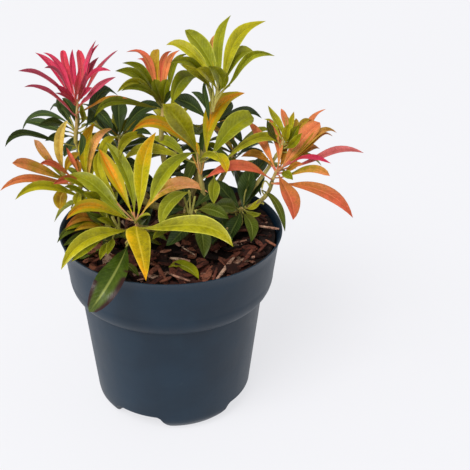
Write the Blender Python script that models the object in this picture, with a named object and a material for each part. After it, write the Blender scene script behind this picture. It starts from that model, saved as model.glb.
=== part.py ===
# A young pieris shrub in a plastic nursery pot: the pot, its soil and bark mulch,
# a short woody stem with its boughs, and the masses of foliage that they carry.
# Metres, +Z up. The origin is the middle of the pot's flat underside, and -Y is the front.

import math
import random

import bpy
from mathutils import Euler, Vector, noise
from mathutils.bvhtree import BVHTree

MM = 0.001
FIT_GAP = 0.0004

# Pot
POT_HEIGHT = 0.167
RIM_RADIUS = 0.095
RIM_FLARE_RADIUS = 0.0922
RIM_FLARE_Z = 0.158
BAND_LOW_RADIUS = 0.0886
BAND_LOW_Z = 0.128
STEP_Z = 0.1115
STEP_RADIUS = 0.0796
FOOT_WALL_RADIUS = 0.069
FOOT_WALL_Z = 0.0105
FOOT_CURVE_RADIUS = 0.0652
FOOT_CURVE_Z = 0.0047
FOOT_RADIUS = 0.061
POT_WALL = 0.0016
POT_FLOOR = 0.002
LIP_DROP = 0.0007
FLOOR_CORNER = 0.0015
FOOT_ROWS_TOP = 0.0225
FOOT_ROWS = (0.0, 0.21, 0.47, 1.0)
FLOOR_ROW_RISE = 0.008
STEP_ROWS = (0.0, 0.12, 0.45, 1.0)
POT_SIDES = 40

# The four drain notches in the foot, and the hole in the roof of each
NOTCH_HEIGHT = 0.015
NOTCH_COUNT = 4
NOTCH_AZIMUTH = -28.8
NOTCH_HALF_ANGLE = 26.0
NOTCH_RAMP_ANGLE = 10.0
NOTCH_INNER_RADIUS = 0.042
NOTCH_INNER_RAMP = 0.005
DRAIN_HOLE_RADIUS = 0.005
DRAIN_HOLE_DISTANCE = 0.0545

# Soil and mulch
SOIL_TOP = 0.1476
MULCH_BASE = 0.148
MULCH_THICKNESS = 0.0045
MULCH_UNEVENNESS = 0.0016
MULCH_LUMP = 0.014
MULCH_SIDES = 32
MULCH_RINGS = 4

# Woody stem, from its flat cut on the soil to its fork
TRUNK_FOOT = Vector((0.012, 0.012, MULCH_BASE))
TRUNK_FORK = Vector((0.009, 0.013, 0.176))
TRUNK_FLARE_RADIUS = 0.0092
TRUNK_RADIUS = 0.0058
FLARE_HEIGHTS = (0.0, 0.004, 0.010)
FLARE_SHARES = (1.0, 0.8, 0.68)
TRUNK_SIDES = 10
BOUGH_SIDES = 6
BOUGH_RINGS = 5
START_STEP = 0.0002

# Foliage
CORE_UNEVENNESS = 0.22
CORE_LUMPS = 1.7
CORE_LUMP_SHIFT = 0.025
GOLDEN_ANGLE = math.radians(137.508)
SHRINK = 0.96
SHRINK_ROUNDS = 90
SMALLEST_PULL = 0.003
SHOULDER_SHARE = 0.46
TIP_CATCH_ANGLE = 22.0
LEAST_FACE_TURN = 0.002

# Each bough: the limb it leaves, how far along that limb, its far end, its two radii,
# and how far its middle bows away from a straight line. Places in millimetres.
BOUGHS = {
    "bough_left": ("trunk", 1.0, (-46, 14, 203), 3.4, 2.7, (0, 0, -7)),
    "bough_tall": ("trunk", 1.0, (30, 36, 233), 3.4, 2.4, (4, 6, -6)),
    "bough_middle": ("trunk", 1.0, (-6, 20, 258), 3.0, 1.9, (-6, 2, 0)),
    "bough_right": ("trunk", 0.9, (64, 6, 181), 3.3, 2.6, (2, 0, -3)),
    "bough_front": ("trunk", 0.9, (-26, -40, 189), 3.0, 2.2, (0, -4, -5)),
    "bough_back": ("trunk", 0.9, (6, 70, 207), 3.0, 2.1, (0, 6, -5)),
    "bough_centre": ("bough_right", 0.3, (24, -7, 221), 2.4, 1.9, (2, -5, -4)),
    "bough_back_right": ("trunk", 0.75, (52, 58, 198), 2.7, 2.0, (4, 4, -5)),
    "bough_low_left": ("trunk", 0.6, (-47, -22, 177), 2.5, 1.9, (0, -4, -3)),
    "bough_low_right": ("trunk", 0.5, (45, -15, 171), 2.4, 1.8, (2, -3, -3)),
    "bough_low_centre": ("trunk", 0.75, (12, -18, 184), 2.2, 1.8, (0, -4, -2)),
    "bough_dark_left": ("bough_left", 0.6, (-43, 38, 221), 2.2, 1.8, (0, 3, -3)),
    "bough_back_left": ("bough_left", 0.45, (-42, 66, 203), 2.3, 1.8, (0, 5, -4)),
    "bough_red": ("bough_left", 0.97, (-79, 27, 234), 2.3, 1.8, (-4, 2, -4)),
    "bough_far_left": ("bough_left", 0.93, (-76, -9, 206), 2.3, 1.8, (-2, -3, -4)),
    "bough_coral": ("bough_right", 0.97, (86, 5, 208), 2.3, 1.9, (5, 0, -4)),
    "bough_young": ("bough_right", 0.75, (95, 27, 227), 1.9, 1.5, (2, 4, -4)),
}

# Each mass of foliage: its middle and core radius, how many leaves its outline follows,
# their length, the lowest and highest lean of those leaves in degrees, the furthest tips
# (from the middle), and its colour. Lengths in millimetres.
FOLIAGE = {
    "foliage_red": ((-75, 25, 271), 15, 9, 46, 10, 70,
                    ((-38, -38, 40), (-37, 41, 28), (10, 48, 36), (36, 14, 36)), "red"),
    "foliage_left_dark": ((-80, 29, 245), 15, 8, 50, -25, 20,
                          ((-48, -50, 12), (-50, 36, -14), (-20, 46, 12), (4, -4, 20)), "dark"),
    "foliage_mid_top": ((-5, 20, 270), 15, 10, 48, 0, 65,
                        ((-31, 48, 31), (8, 42, 36), (-50, -48, 11)), "olive"),
    "foliage_dark_left": ((-43, 42, 232), 15, 8, 50, -10, 45,
                          ((-4, 54, 17), (-24, 44, 10)), "dark"),
    "foliage_tall": ((37, 25, 274), 17, 9, 56, 0, 60,
                     ((16, 46, 57), (44, 40, 54), (-22, 60, 38), (48, -4, 37), (-4, 16, -24)),
                     "yellow_green"),
    "foliage_dark_tall": ((32, 46, 244), 15, 7, 48, -20, 20,
                          ((47, 14, -2), (-32, 32, 2), (4, -16, 24)), "dark"),
    "foliage_centre": ((25, -9, 233), 17, 9, 58, -20, 40,
                       ((72, 12, 3), (44, 40, 30), (-50, -26, 36)), "orange"),
    "foliage_low_centre": ((11, -26, 195), 12, 7, 40, -20, 30,
                           ((30, -34, -10),), "dark"),
    "foliage_front": ((-29, -45, 199), 17, 9, 60, -12, 50,
                      ((-54, -58, -9), (9, -60, -16), (72, -44, -4), (-50, -28, 20), (-30, -38, -21)),
                      "yellow_green"),
    "foliage_left": ((-78, -9, 216), 17, 10, 54, -15, 55,
                     ((-44, -42, 36), (-54, -44, 13), (-38, -62, 14), (-32, 46, 16)), "orange"),
    "foliage_coral": ((89, 5, 217), 15, 9, 54, -25, 50,
                      ((64, -28, 28), (60, -27, -30), (42, 26, 42), (8, -46, -16)), "coral"),
    "foliage_young": ((97, 28, 236), 10, 6, 32, 0, 60,
                      ((2, 36, 14), (-12, 24, 20)), "yellow_green"),
    "foliage_dark_right": ((56, -1, 191), 13, 7, 42, -15, 35,
                           ((-2, -37, -15), (42, -11, -13)), "dark"),
    "foliage_low_left": ((-54, -25, 182), 12, 6, 40, -10, 25,
                         ((-36, -34, 6),), "dark"),
    "foliage_hanging": ((-59, -83, 178), 8, 0, 30, 0, 0,
                        ((20, 27, 12), (-9, -19, -30)), "dark"),
    "foliage_back_left": ((-48, 80, 210), 17, 9, 50, -20, 40,
                          ((-34, 38, 6), (0, 50, 4)), "dark"),
    "foliage_back": ((3, 84, 214), 18, 9, 52, -20, 35,
                     ((-8, 50, 4), (30, 42, 0)), "olive"),
    "foliage_back_right": ((58, 70, 206), 17, 9, 50, -20, 35,
                           ((36, 36, 4), (46, 4, 2)), "dark"),
    "foliage_back_low": ((-12, 50, 186), 14, 6, 38, -10, 25,
                         ((-20, 34, -4),), "dark"),
}

# Colour, roughness of each surface
LOOKS = {
    "pot": ((0.030, 0.042, 0.055), 0.5),
    "soil": ((0.030, 0.020, 0.013), 0.95),
    "mulch": ((0.170, 0.065, 0.035), 0.9),
    "bark": ((0.160, 0.100, 0.065), 0.85),
    "red": ((0.650, 0.030, 0.060), 0.45),
    "coral": ((0.700, 0.160, 0.090), 0.45),
    "orange": ((0.600, 0.290, 0.050), 0.45),
    "yellow_green": ((0.330, 0.400, 0.040), 0.45),
    "olive": ((0.140, 0.180, 0.030), 0.45),
    "dark": ((0.025, 0.065, 0.022), 0.45),
}


def clear_scene():
    for item in list(bpy.data.objects):
        bpy.data.objects.remove(item, do_unlink=True)


def material(look):
    if look in bpy.data.materials:
        return bpy.data.materials[look]
    made = bpy.data.materials.new(look)
    made.use_nodes = True
    shader = made.node_tree.nodes["Principled BSDF"]
    colour, roughness = LOOKS[look]
    shader.inputs["Base Color"].default_value = (*colour, 1.0)
    shader.inputs["Roughness"].default_value = roughness
    shader.inputs["Metallic"].default_value = 0.0
    return made


def add_object(name, points, faces, place, look, sharp=50.0):
    """An object at its own place, with its points given in world coordinates."""
    mesh = bpy.data.meshes.new(name)
    mesh.from_pydata([Vector(p) - place for p in points], [], faces)
    mesh.validate()
    mesh.shade_smooth()
    mesh.set_sharp_from_angle(angle=math.radians(sharp))
    mesh.materials.append(material(look))
    item = bpy.data.objects.new(name, mesh)
    item.location = place
    bpy.context.collection.objects.link(item)
    return item


def rings_to_faces(rows, sides, closed=False):
    """Faces between rings of equal length; the first and last ring are filled unless closed."""
    faces = []
    pairs = rows if closed else rows - 1
    for row in range(pairs):
        low = row * sides
        high = ((row + 1) % rows) * sides
        for side in range(sides):
            after = (side + 1) % sides
            faces.append((low + side, low + after, high + after, high + side))
    if not closed:
        faces.append(tuple(reversed(range(sides))))
        faces.append(tuple((rows - 1) * sides + side for side in range(sides)))
    return faces


def spread(start, end, t):
    return start + (end - start) * t


def quarter_round(t):
    """Rises from 0 to 1 like the quarter of a circle."""
    return math.sqrt(max(0.0, 1.0 - (1.0 - t) ** 2))


def outer_radius(z):
    """Radius of the pot's outer face at a height."""
    if z < FOOT_CURVE_Z:
        return spread(FOOT_RADIUS, FOOT_CURVE_RADIUS, z / FOOT_CURVE_Z)
    if z < FOOT_WALL_Z:
        return spread(FOOT_CURVE_RADIUS, FOOT_WALL_RADIUS, (z - FOOT_CURVE_Z) / (FOOT_WALL_Z - FOOT_CURVE_Z))
    if z < STEP_Z:
        return spread(FOOT_WALL_RADIUS, STEP_RADIUS, (z - FOOT_WALL_Z) / (STEP_Z - FOOT_WALL_Z))
    if z < BAND_LOW_Z:
        return spread(STEP_RADIUS, BAND_LOW_RADIUS, quarter_round((z - STEP_Z) / (BAND_LOW_Z - STEP_Z)))
    if z < RIM_FLARE_Z:
        return spread(BAND_LOW_RADIUS, RIM_FLARE_RADIUS, (z - BAND_LOW_Z) / (RIM_FLARE_Z - BAND_LOW_Z))
    return spread(RIM_FLARE_RADIUS, RIM_RADIUS, (z - RIM_FLARE_Z) / (POT_HEIGHT - RIM_FLARE_Z))


def inner_radius(z):
    """Radius of the pot's inner face at a height."""
    return outer_radius(max(z - POT_WALL, 0.0)) - POT_WALL


def notch_rise(azimuth):
    """How far the foot is raised by a drain notch at an azimuth in degrees from the front."""
    pitch = 360.0 / NOTCH_COUNT
    off = (azimuth - NOTCH_AZIMUTH + pitch / 2) % pitch - pitch / 2
    return NOTCH_HEIGHT * min(1.0, max(0.0, (NOTCH_HALF_ANGLE - abs(off)) / NOTCH_RAMP_ANGLE))


def underside_profile(rise):
    """From the middle of the underside out to the foot and up the outer wall to the lip."""
    rows = [(NOTCH_INNER_RADIUS - NOTCH_INNER_RAMP, 0.0), (NOTCH_INNER_RADIUS, 0.0)]
    rows.append((NOTCH_INNER_RADIUS + NOTCH_INNER_RAMP, rise))
    for t in FOOT_ROWS:
        z = spread(rise, FOOT_ROWS_TOP, t)
        rows.append((outer_radius(z), z))
    for t in STEP_ROWS:
        z = spread(STEP_Z, BAND_LOW_Z, t)
        rows.append((outer_radius(z), z))
    rows.append((RIM_FLARE_RADIUS, RIM_FLARE_Z))
    rows.append((RIM_RADIUS, POT_HEIGHT - LIP_DROP))
    rows.append((RIM_RADIUS - POT_WALL / 2, POT_HEIGHT))
    return rows


def inside_profile(rise, gap):
    """From the ledge inside the band down the inner wall to the middle of the floor.
    A gap above 0 draws it in, for what fills the pot."""
    rows = []
    for t in reversed(STEP_ROWS):
        z = spread(STEP_Z, BAND_LOW_Z, t) + POT_WALL
        rows.append((inner_radius(z) - gap, z + gap))
    floor = POT_FLOOR + rise
    for z in (floor + FLOOR_ROW_RISE, floor + POT_FLOOR):
        rows.append((inner_radius(z) - gap, z + gap))
    rows.append((inner_radius(floor) - gap - FLOOR_CORNER, floor + gap))
    rows.append((NOTCH_INNER_RADIUS + NOTCH_INNER_RAMP - POT_WALL, floor + gap))
    rows.append((NOTCH_INNER_RADIUS - 2 * POT_WALL, POT_FLOOR + gap))
    return rows


def turned(profile_of, sides=POT_SIDES):
    """Points of a turned form whose profile may change with azimuth."""
    profiles = []
    for side in range(sides):
        azimuth = NOTCH_AZIMUTH + 360.0 * side / sides
        profiles.append((math.radians(azimuth), profile_of(notch_rise(azimuth))))
    points = []
    for row in range(len(profiles[0][1])):
        for angle, profile in profiles:
            radius, z = profile[row]
            points.append((radius * math.sin(angle), -radius * math.cos(angle), z))
    return points, len(profiles[0][1])


def drill(item, centre, radius, depth):
    """A round hole straight up and down through an object."""
    bpy.ops.mesh.primitive_cylinder_add(vertices=10, radius=radius, depth=depth, location=centre)
    cutter = bpy.context.object
    cutter.name = "drain_hole_cutter"
    cutter.hide_render = True
    cutter.display_type = "WIRE"
    cut = item.modifiers.new("drain_hole", "BOOLEAN")
    cut.operation = "DIFFERENCE"
    cut.solver = "EXACT"
    cut.object = cutter


def make_pot():
    lip = [(inner_radius(POT_HEIGHT), POT_HEIGHT - LIP_DROP), (inner_radius(RIM_FLARE_Z), RIM_FLARE_Z)]
    points, rows = turned(lambda rise: underside_profile(rise) + lip + inside_profile(rise, 0.0))
    pot = add_object("pot", points, rings_to_faces(rows, POT_SIDES), Vector((0, 0, 0)), "pot", 35.0)
    for notch in range(NOTCH_COUNT):
        angle = math.radians(NOTCH_AZIMUTH + 360.0 * notch / NOTCH_COUNT)
        centre = Vector((math.sin(angle), -math.cos(angle), 0)) * DRAIN_HOLE_DISTANCE
        centre.z = NOTCH_HEIGHT + POT_FLOOR / 2
        drill(pot, centre, DRAIN_HOLE_RADIUS, POT_FLOOR * 2)


def make_soil():
    top = (inner_radius(SOIL_TOP) - FIT_GAP, SOIL_TOP)
    points, rows = turned(lambda rise: [top] + inside_profile(rise, FIT_GAP))
    place = Vector((0, 0, POT_FLOOR + FIT_GAP))
    # Each face is turned over from its first point, so it is split like the pot's face outside it
    faces = [(face[0],) + tuple(reversed(face[1:])) for face in rings_to_faces(rows, POT_SIDES)]
    add_object("soil", points, faces, place, "soil", 35.0)


def make_mulch():
    """A thin uneven layer of bark on the soil, with a hole round the foot of the stem."""
    hole = TRUNK_FLARE_RADIUS + FIT_GAP
    edge = inner_radius(MULCH_BASE) - FIT_GAP
    rims = []
    for side in range(MULCH_SIDES):
        angle = 2 * math.pi * side / MULCH_SIDES
        ray = Vector((math.cos(angle), math.sin(angle), 0))
        foot = Vector((TRUNK_FOOT.x, TRUNK_FOOT.y, 0))
        along = foot.dot(ray)
        reach = -along + math.sqrt(along * along + edge * edge - foot.length_squared)
        rims.append((foot, ray, reach))
    points = [foot + ray * hole + Vector((0, 0, MULCH_BASE)) for foot, ray, reach in rims]
    points += [foot + ray * reach + Vector((0, 0, MULCH_BASE)) for foot, ray, reach in rims]
    for ring in range(MULCH_RINGS + 1):
        for foot, ray, reach in rims:
            spot = foot + ray * spread(reach, hole, ring / MULCH_RINGS)
            lump = MULCH_UNEVENNESS * noise.noise(spot / MULCH_LUMP)
            spot.z = MULCH_BASE + MULCH_THICKNESS + lump
            points.append(spot)
    faces = rings_to_faces(MULCH_RINGS + 3, MULCH_SIDES, closed=True)
    add_object("bark_mulch", points, faces, Vector((0, 0, MULCH_BASE)), "mulch", 60.0)


def tube_points(path, radii, sides):
    """Rings round a path, each square to it and turned no more than the path bends."""
    points = []
    side_axis = Vector((1, 0, 0))
    for index, (spot, radius) in enumerate(zip(path, radii)):
        before = path[max(index - 1, 0)]
        after = path[min(index + 1, len(path) - 1)]
        ahead = (after - before).normalized()
        side_axis = (side_axis - ahead * side_axis.dot(ahead)).normalized()
        up_axis = ahead.cross(side_axis)
        for side in range(sides):
            angle = 2 * math.pi * side / sides
            points.append(spot + (side_axis * math.cos(angle) + up_axis * math.sin(angle)) * radius)
    return points


def tube_tree(path, radii, sides, extra):
    """A search tree of a tube, fattened by a gap."""
    points = tube_points(path, [radius + extra for radius in radii], sides)
    return BVHTree.FromPolygons(points, rings_to_faces(len(path), sides))


def bent_path(start, end, bow, start_t=0.0, rings=BOUGH_RINGS):
    """Points along a curve between two ends whose middle is pushed aside by a bow."""
    path = []
    for ring in range(rings):
        t = spread(start_t, 1.0, ring / (rings - 1))
        path.append(start.lerp(end, t) + bow * (4 * t * (1 - t)))
    return path


def make_trunk():
    rise = TRUNK_FORK.z - TRUNK_FOOT.z
    path = [TRUNK_FOOT.lerp(TRUNK_FORK, height / rise) for height in (*FLARE_HEIGHTS, rise)]
    radii = [TRUNK_FLARE_RADIUS * share for share in FLARE_SHARES] + [TRUNK_RADIUS]
    points = tube_points(path, radii, TRUNK_SIDES)
    for index in range(TRUNK_SIDES):
        points[index].z = TRUNK_FOOT.z
    faces = rings_to_faces(len(path), TRUNK_SIDES)
    add_object("trunk", points, faces, TRUNK_FOOT, "bark")
    return path, radii


def point_on(path, share):
    """The point at a share of the way along a limb."""
    place = share * (len(path) - 1)
    index = min(int(place), len(path) - 2)
    return path[index].lerp(path[index + 1], place - index)


def make_boughs(limbs):
    """Every bough starts clear of the limb that it leaves and of the boughs before it."""
    trees = {}
    for name, (path, radii) in limbs.items():
        trees[name] = tube_tree(path, radii, TRUNK_SIDES, FIT_GAP)
    for name, (parent, share, end, thick, thin, bow) in BOUGHS.items():
        start = point_on(limbs[parent][0], share)
        end = Vector(end) * MM
        bow = Vector(bow) * MM
        step = START_STEP / (end - start).length
        start_t = 0.0
        while True:
            path = bent_path(start, end, bow, start_t)
            radii = [spread(thick, thin, ring / (BOUGH_RINGS - 1)) * MM for ring in range(BOUGH_RINGS)]
            tube = tube_tree(path, radii, BOUGH_SIDES, 0.0)
            if not any(tube.overlap(tree) for tree in trees.values()):
                break
            start_t += step
        points = tube_points(path, radii, BOUGH_SIDES)
        add_object(name, points, rings_to_faces(BOUGH_RINGS, BOUGH_SIDES), path[0].copy(), "bark")
        limbs[name] = (path, radii)
        trees[name] = tube_tree(path, radii, BOUGH_SIDES, FIT_GAP)
    return list(trees.values())


def leaf_tips(count, length, low, high, reach, chance):
    """The furthest tips, then leaves set round the shoot at the golden angle."""
    tips = [Vector(tip) * MM for tip in reach]
    for index in range(count):
        share = (index + 0.5) / count
        lean = math.radians(spread(high, low, share) + chance.uniform(-6, 6))
        turn = index * GOLDEN_ANGLE + chance.uniform(-0.2, 0.2)
        along = Vector((math.cos(turn) * math.cos(lean), math.sin(turn) * math.cos(lean), math.sin(lean)))
        tips.append(along * length * MM * chance.uniform(0.82, 1.05))
    return tips


def ball(chance):
    """Directions and faces of an even ball, turned at random."""
    bpy.ops.mesh.primitive_ico_sphere_add(subdivisions=3, radius=1.0)
    item = bpy.context.object
    turn = Euler([chance.uniform(0, 2 * math.pi) for axis in range(3)]).to_matrix()
    rays = [(turn @ vertex.co).normalized() for vertex in item.data.vertices]
    faces = [tuple(face.vertices) for face in item.data.polygons]
    bpy.data.objects.remove(item, do_unlink=True)
    return rays, faces


def faces_out(rays, faces, which):
    """Whether every face at a point still looks away from the middle."""
    for face in faces:
        if which in face:
            a, b, c = (rays[index] for index in face)
            if a.dot(b.cross(c)) < LEAST_FACE_TURN:
                return False
    return True


def pull_tips(rays, faces, radii, tips):
    """Draws one point of the ball out to each tip, and the points beside it part of the way."""
    beside = {index: set() for index in range(len(rays))}
    for face in faces:
        for index in face:
            beside[index].update(face)
    taken = set()
    for tip in tips:
        ray = tip.normalized()
        free = [index for index in range(len(rays)) if index not in taken]
        if not free:
            break
        best = max(free, key=lambda index: rays[index].dot(ray))
        if rays[best].angle(ray) > math.radians(TIP_CATCH_ANGLE):
            continue
        kept = rays[best].copy()
        rays[best] = ray
        if not faces_out(rays, faces, best):
            rays[best] = kept
        for index in beside[best]:
            radii[index] = max(radii[index], tip.length * SHOULDER_SHARE)
        radii[best] = tip.length
        taken.update(beside[best])


def keep_inside_planes(rays, radii, middle, core, others):
    """Stops a mass at the plane between it and each other mass."""
    for other_middle, other_core in others:
        apart = other_middle - middle
        limit = apart.length * core / (core + other_core) - FIT_GAP / 2
        apart.normalize()
        for index, ray in enumerate(rays):
            ahead = ray.dot(apart)
            if ahead > 0.001:
                radii[index] = min(radii[index], limit / ahead)


def keep_clear(rays, faces, radii, middle, barriers):
    """Draws in each part of a mass that meets the wood, the mulch or the pot."""
    for attempt in range(SHRINK_ROUNDS):
        points = [middle + ray * radius for ray, radius in zip(rays, radii)]
        tree = BVHTree.FromPolygons(points, faces)
        touched = set()
        for barrier in barriers:
            for mine, theirs in tree.overlap(barrier):
                touched.update(faces[mine])
        if not touched:
            return points
        for index in touched:
            radii[index] = max(radii[index] * SHRINK, SMALLEST_PULL)
    raise ValueError("a mass of foliage stays in the way of the wood")


def turned_barrier():
    """The pot's band and the top of the mulch, fattened by a gap, as one search tree."""
    top = MULCH_BASE + MULCH_THICKNESS + MULCH_UNEVENNESS + FIT_GAP
    fat = FIT_GAP
    rows = [(0.0001, top), (inner_radius(top) - fat, top)]
    rows += [(inner_radius(RIM_FLARE_Z) - fat, RIM_FLARE_Z), (inner_radius(POT_HEIGHT) - fat, POT_HEIGHT + fat)]
    rows += [(RIM_RADIUS + fat, POT_HEIGHT + fat)]
    rows += [(BAND_LOW_RADIUS + 2 * fat, STEP_Z - fat), (FOOT_RADIUS + fat, 0.0)]
    points, count = turned(lambda rise: list(reversed(rows)))
    return BVHTree.FromPolygons(points, rings_to_faces(count, POT_SIDES))


def make_foliage(wood):
    pot_tree = turned_barrier()
    middles = {name: (Vector(row[0]) * MM, row[1] * MM) for name, row in FOLIAGE.items()}
    for name, (centre, core, count, length, low, high, reach, look) in FOLIAGE.items():
        chance = random.Random(name)
        middle = Vector(centre) * MM
        rays, faces = ball(chance)
        radii = []
        for ray in rays:
            lump = CORE_UNEVENNESS * noise.noise(ray * CORE_LUMPS + middle / CORE_LUMP_SHIFT)
            radii.append(core * MM * (1.0 + lump))
        pull_tips(rays, faces, radii, leaf_tips(count, length, low, high, reach, chance))
        others = [value for key, value in middles.items() if key != name]
        keep_inside_planes(rays, radii, middle, core * MM, others)
        points = keep_clear(rays, faces, radii, middle, wood + [pot_tree])
        add_object(name, points, faces, middle, look, 30.0)


def build():
    clear_scene()
    make_pot()
    make_soil()
    make_mulch()
    limbs = {"trunk": make_trunk()}
    wood = make_boughs(limbs)
    make_foliage(wood)


build()
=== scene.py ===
import math
import random

import bpy
import numpy as np
from mathutils import Matrix, Vector, noise


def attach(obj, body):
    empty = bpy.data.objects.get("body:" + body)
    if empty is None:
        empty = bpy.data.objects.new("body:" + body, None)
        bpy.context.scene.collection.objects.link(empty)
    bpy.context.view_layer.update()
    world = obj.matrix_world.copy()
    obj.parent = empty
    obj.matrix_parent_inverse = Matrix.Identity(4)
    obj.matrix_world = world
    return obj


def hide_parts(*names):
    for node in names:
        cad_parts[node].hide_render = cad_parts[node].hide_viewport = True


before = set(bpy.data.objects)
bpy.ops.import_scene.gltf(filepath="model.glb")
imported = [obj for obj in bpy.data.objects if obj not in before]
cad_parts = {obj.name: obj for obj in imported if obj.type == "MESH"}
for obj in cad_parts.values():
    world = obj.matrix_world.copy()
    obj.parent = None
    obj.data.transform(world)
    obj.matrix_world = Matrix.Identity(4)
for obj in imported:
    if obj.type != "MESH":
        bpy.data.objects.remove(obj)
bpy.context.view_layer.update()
mm = 0.001
up = Vector((0, 0, 1))
goldenAngle = math.radians(137.5)
roughTurn = 6.3  # about one turn in radians, for chance phases
print("frame loaded", len(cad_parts), "nodes")


# Camera
# Where the photograph was taken from. Angles in degrees, lengths in metres, focal in pixels of its frame
camera = {"side": 470, "focal": 1000, "rise": 28.5, "away": 0.857, "aim": 0.167,
          "pan": 3.63, "tip": -0.55, "roll": -1.1, "sensor": 36.0}


def turn(first, second, degrees):
    angle = math.radians(degrees)
    return (first * math.cos(angle) + second * math.sin(angle),
            second * math.cos(angle) - first * math.sin(angle))


def cameraAxes():
    rise = math.radians(camera["rise"])
    ahead = Vector((0, math.cos(rise), -math.sin(rise)))
    right = Vector((1, 0, 0))
    above = right.cross(ahead)
    spot = Vector((0, 0, camera["aim"])) - ahead * camera["away"]
    ahead, above = turn(ahead, above, camera["tip"])
    ahead, right = turn(ahead, right, camera["pan"])
    right, above = turn(right, above, camera["roll"])
    return spot, ahead, right, above


eye, eyeAhead, eyeRight, eyeUp = cameraAxes()


def makeCamera():
    lens = bpy.data.cameras.new("camera")
    lens.sensor_width = camera["sensor"]
    lens.lens = camera["focal"] / camera["side"] * camera["sensor"]
    item = bpy.data.objects.new("camera", lens)
    item.matrix_world = Matrix((eyeRight, eyeUp, -eyeAhead)).transposed().to_4x4()
    item.location = eye
    bpy.context.collection.objects.link(item)
    bpy.context.scene.camera = item


def rayThrough(pixel):
    middle = camera["side"] / 2
    across = (pixel[0] - middle) / camera["focal"]
    down = (pixel[1] - middle) / camera["focal"]
    return (eyeAhead + eyeRight * across - eyeUp * down).normalized()


def toPixel(spot):
    ray = spot - eye
    depth = ray.dot(eyeAhead)
    middle = camera["side"] / 2
    return (middle + camera["focal"] * ray.dot(eyeRight) / depth,
            middle - camera["focal"] * ray.dot(eyeUp) / depth)


def spotAtReach(base, pixel, reach, away):
    # the point seen at a pixel that is a leaf's reach from its base, on the far or the near side
    ray = rayThrough(pixel)
    middle = (base - eye).dot(ray)
    spare = reach ** 2 - ((base - eye).length_squared - middle ** 2)
    shift = math.sqrt(max(spare, 0.0))
    return eye + ray * (middle + shift if away else middle - shift)


def spotAtDepth(pixel, depth):
    ray = rayThrough(pixel)
    return eye + ray * (depth / ray.dot(eyeAhead))


# Curves and meshes
def blend(first, second, share):
    return first + (second - first) * share


def smoothStep(low, high, value):
    share = min(1.0, max(0.0, (value - low) / (high - low)))
    return share * share * (3 - 2 * share)


def curveThrough(foot, low, high, tip):
    # the four points of the Bezier curve that passes low a third of the way along and high two thirds
    hold = (foot * -5 + low * 18 - high * 9 + tip * 2) / 6
    draw = (foot * 2 - low * 9 + high * 18 - tip * 5) / 6
    return foot, hold, draw, tip


def curvePoint(curve, share):
    foot, hold, draw, tip = curve
    rest = 1 - share
    start = foot * rest ** 3 + hold * (3 * share * rest ** 2)
    return start + draw * (3 * share ** 2 * rest) + tip * share ** 3


def arcPath(start, pull, end, steps):
    # points along a curve that leaves its start towards pull and comes to its end from there
    path = []
    for step in range(steps + 1):
        share, rest = step / steps, 1 - step / steps
        path.append(start * rest ** 2 + pull * (2 * share * rest) + end * share ** 2)
    return path


def ringRays(path, axis, sides):
    # for each point of a path, the directions of a ring of points round it, carried along without a twist
    for index in range(len(path)):
        ahead = (path[min(index + 1, len(path) - 1)] - path[max(index - 1, 0)]).normalized()
        axis = (axis - ahead * axis.dot(ahead)).normalized()
        other = ahead.cross(axis)
        angles = [2 * math.pi * side / sides for side in range(sides)]
        yield [axis * math.cos(angle) + other * math.sin(angle) for angle in angles]


def newPiece(name, points, faces, materials, slots=None, smooth=50.0):
    mesh = bpy.data.meshes.new(name)
    mesh.from_pydata([tuple(p) for p in points], [], faces)
    mesh.validate()
    for entry in materials:
        mesh.materials.append(entry)
    if slots is not None:
        mesh.polygons.foreach_set("material_index", slots)
    mesh.shade_smooth()
    mesh.set_sharp_from_angle(angle=math.radians(smooth))
    item = bpy.data.objects.new(name, mesh)
    bpy.context.collection.objects.link(item)
    return item


def stitchRings(rows, sides, capStart=True, capEnd=True):
    faces = []
    for row in range(rows - 1):
        for side in range(sides):
            after = (side + 1) % sides
            low, high = row * sides, (row + 1) * sides
            faces.append((low + side, low + after, high + after, high + side))
    if capStart:
        faces.append(tuple(reversed(range(sides))))
    if capEnd:
        faces.append(tuple((rows - 1) * sides + side for side in range(sides)))
    return faces


def shifted(faces, first):
    return [tuple(first + index for index in face) for face in faces]


# Shader maths
class Wire:
    # a node's output that can stand in a sum, so 1 - mask adds the Math node that it needs
    def __init__(self, maker, socket):
        self.maker = maker
        self.socket = socket

    def sum(self, how, first, second):
        return self.maker.node("ShaderNodeMath", {"operation": how}, {0: first, 1: second})

    def __add__(self, other):
        return self.sum("ADD", self, other)

    def __radd__(self, other):
        return self.sum("ADD", other, self)

    def __sub__(self, other):
        return self.sum("SUBTRACT", self, other)

    def __rsub__(self, other):
        return self.sum("SUBTRACT", other, self)

    def __mul__(self, other):
        return self.sum("MULTIPLY", self, other)

    def __rmul__(self, other):
        return self.sum("MULTIPLY", other, self)

    def __abs__(self):
        return self.sum("ABSOLUTE", self, 0.0)

    def between(self, low, high):
        # 0 at low and before it, 1 at high and past it. It falls where low is the larger
        settings = {"interpolation_type": "SMOOTHSTEP", "clamp": True}
        ends = {0: self, 1: low, 2: high}
        if low > high:
            ends = {0: self, 1: high, 2: low, 3: 1.0, 4: 0.0}
        return self.maker.node("ShaderNodeMapRange", settings, ends)


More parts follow.
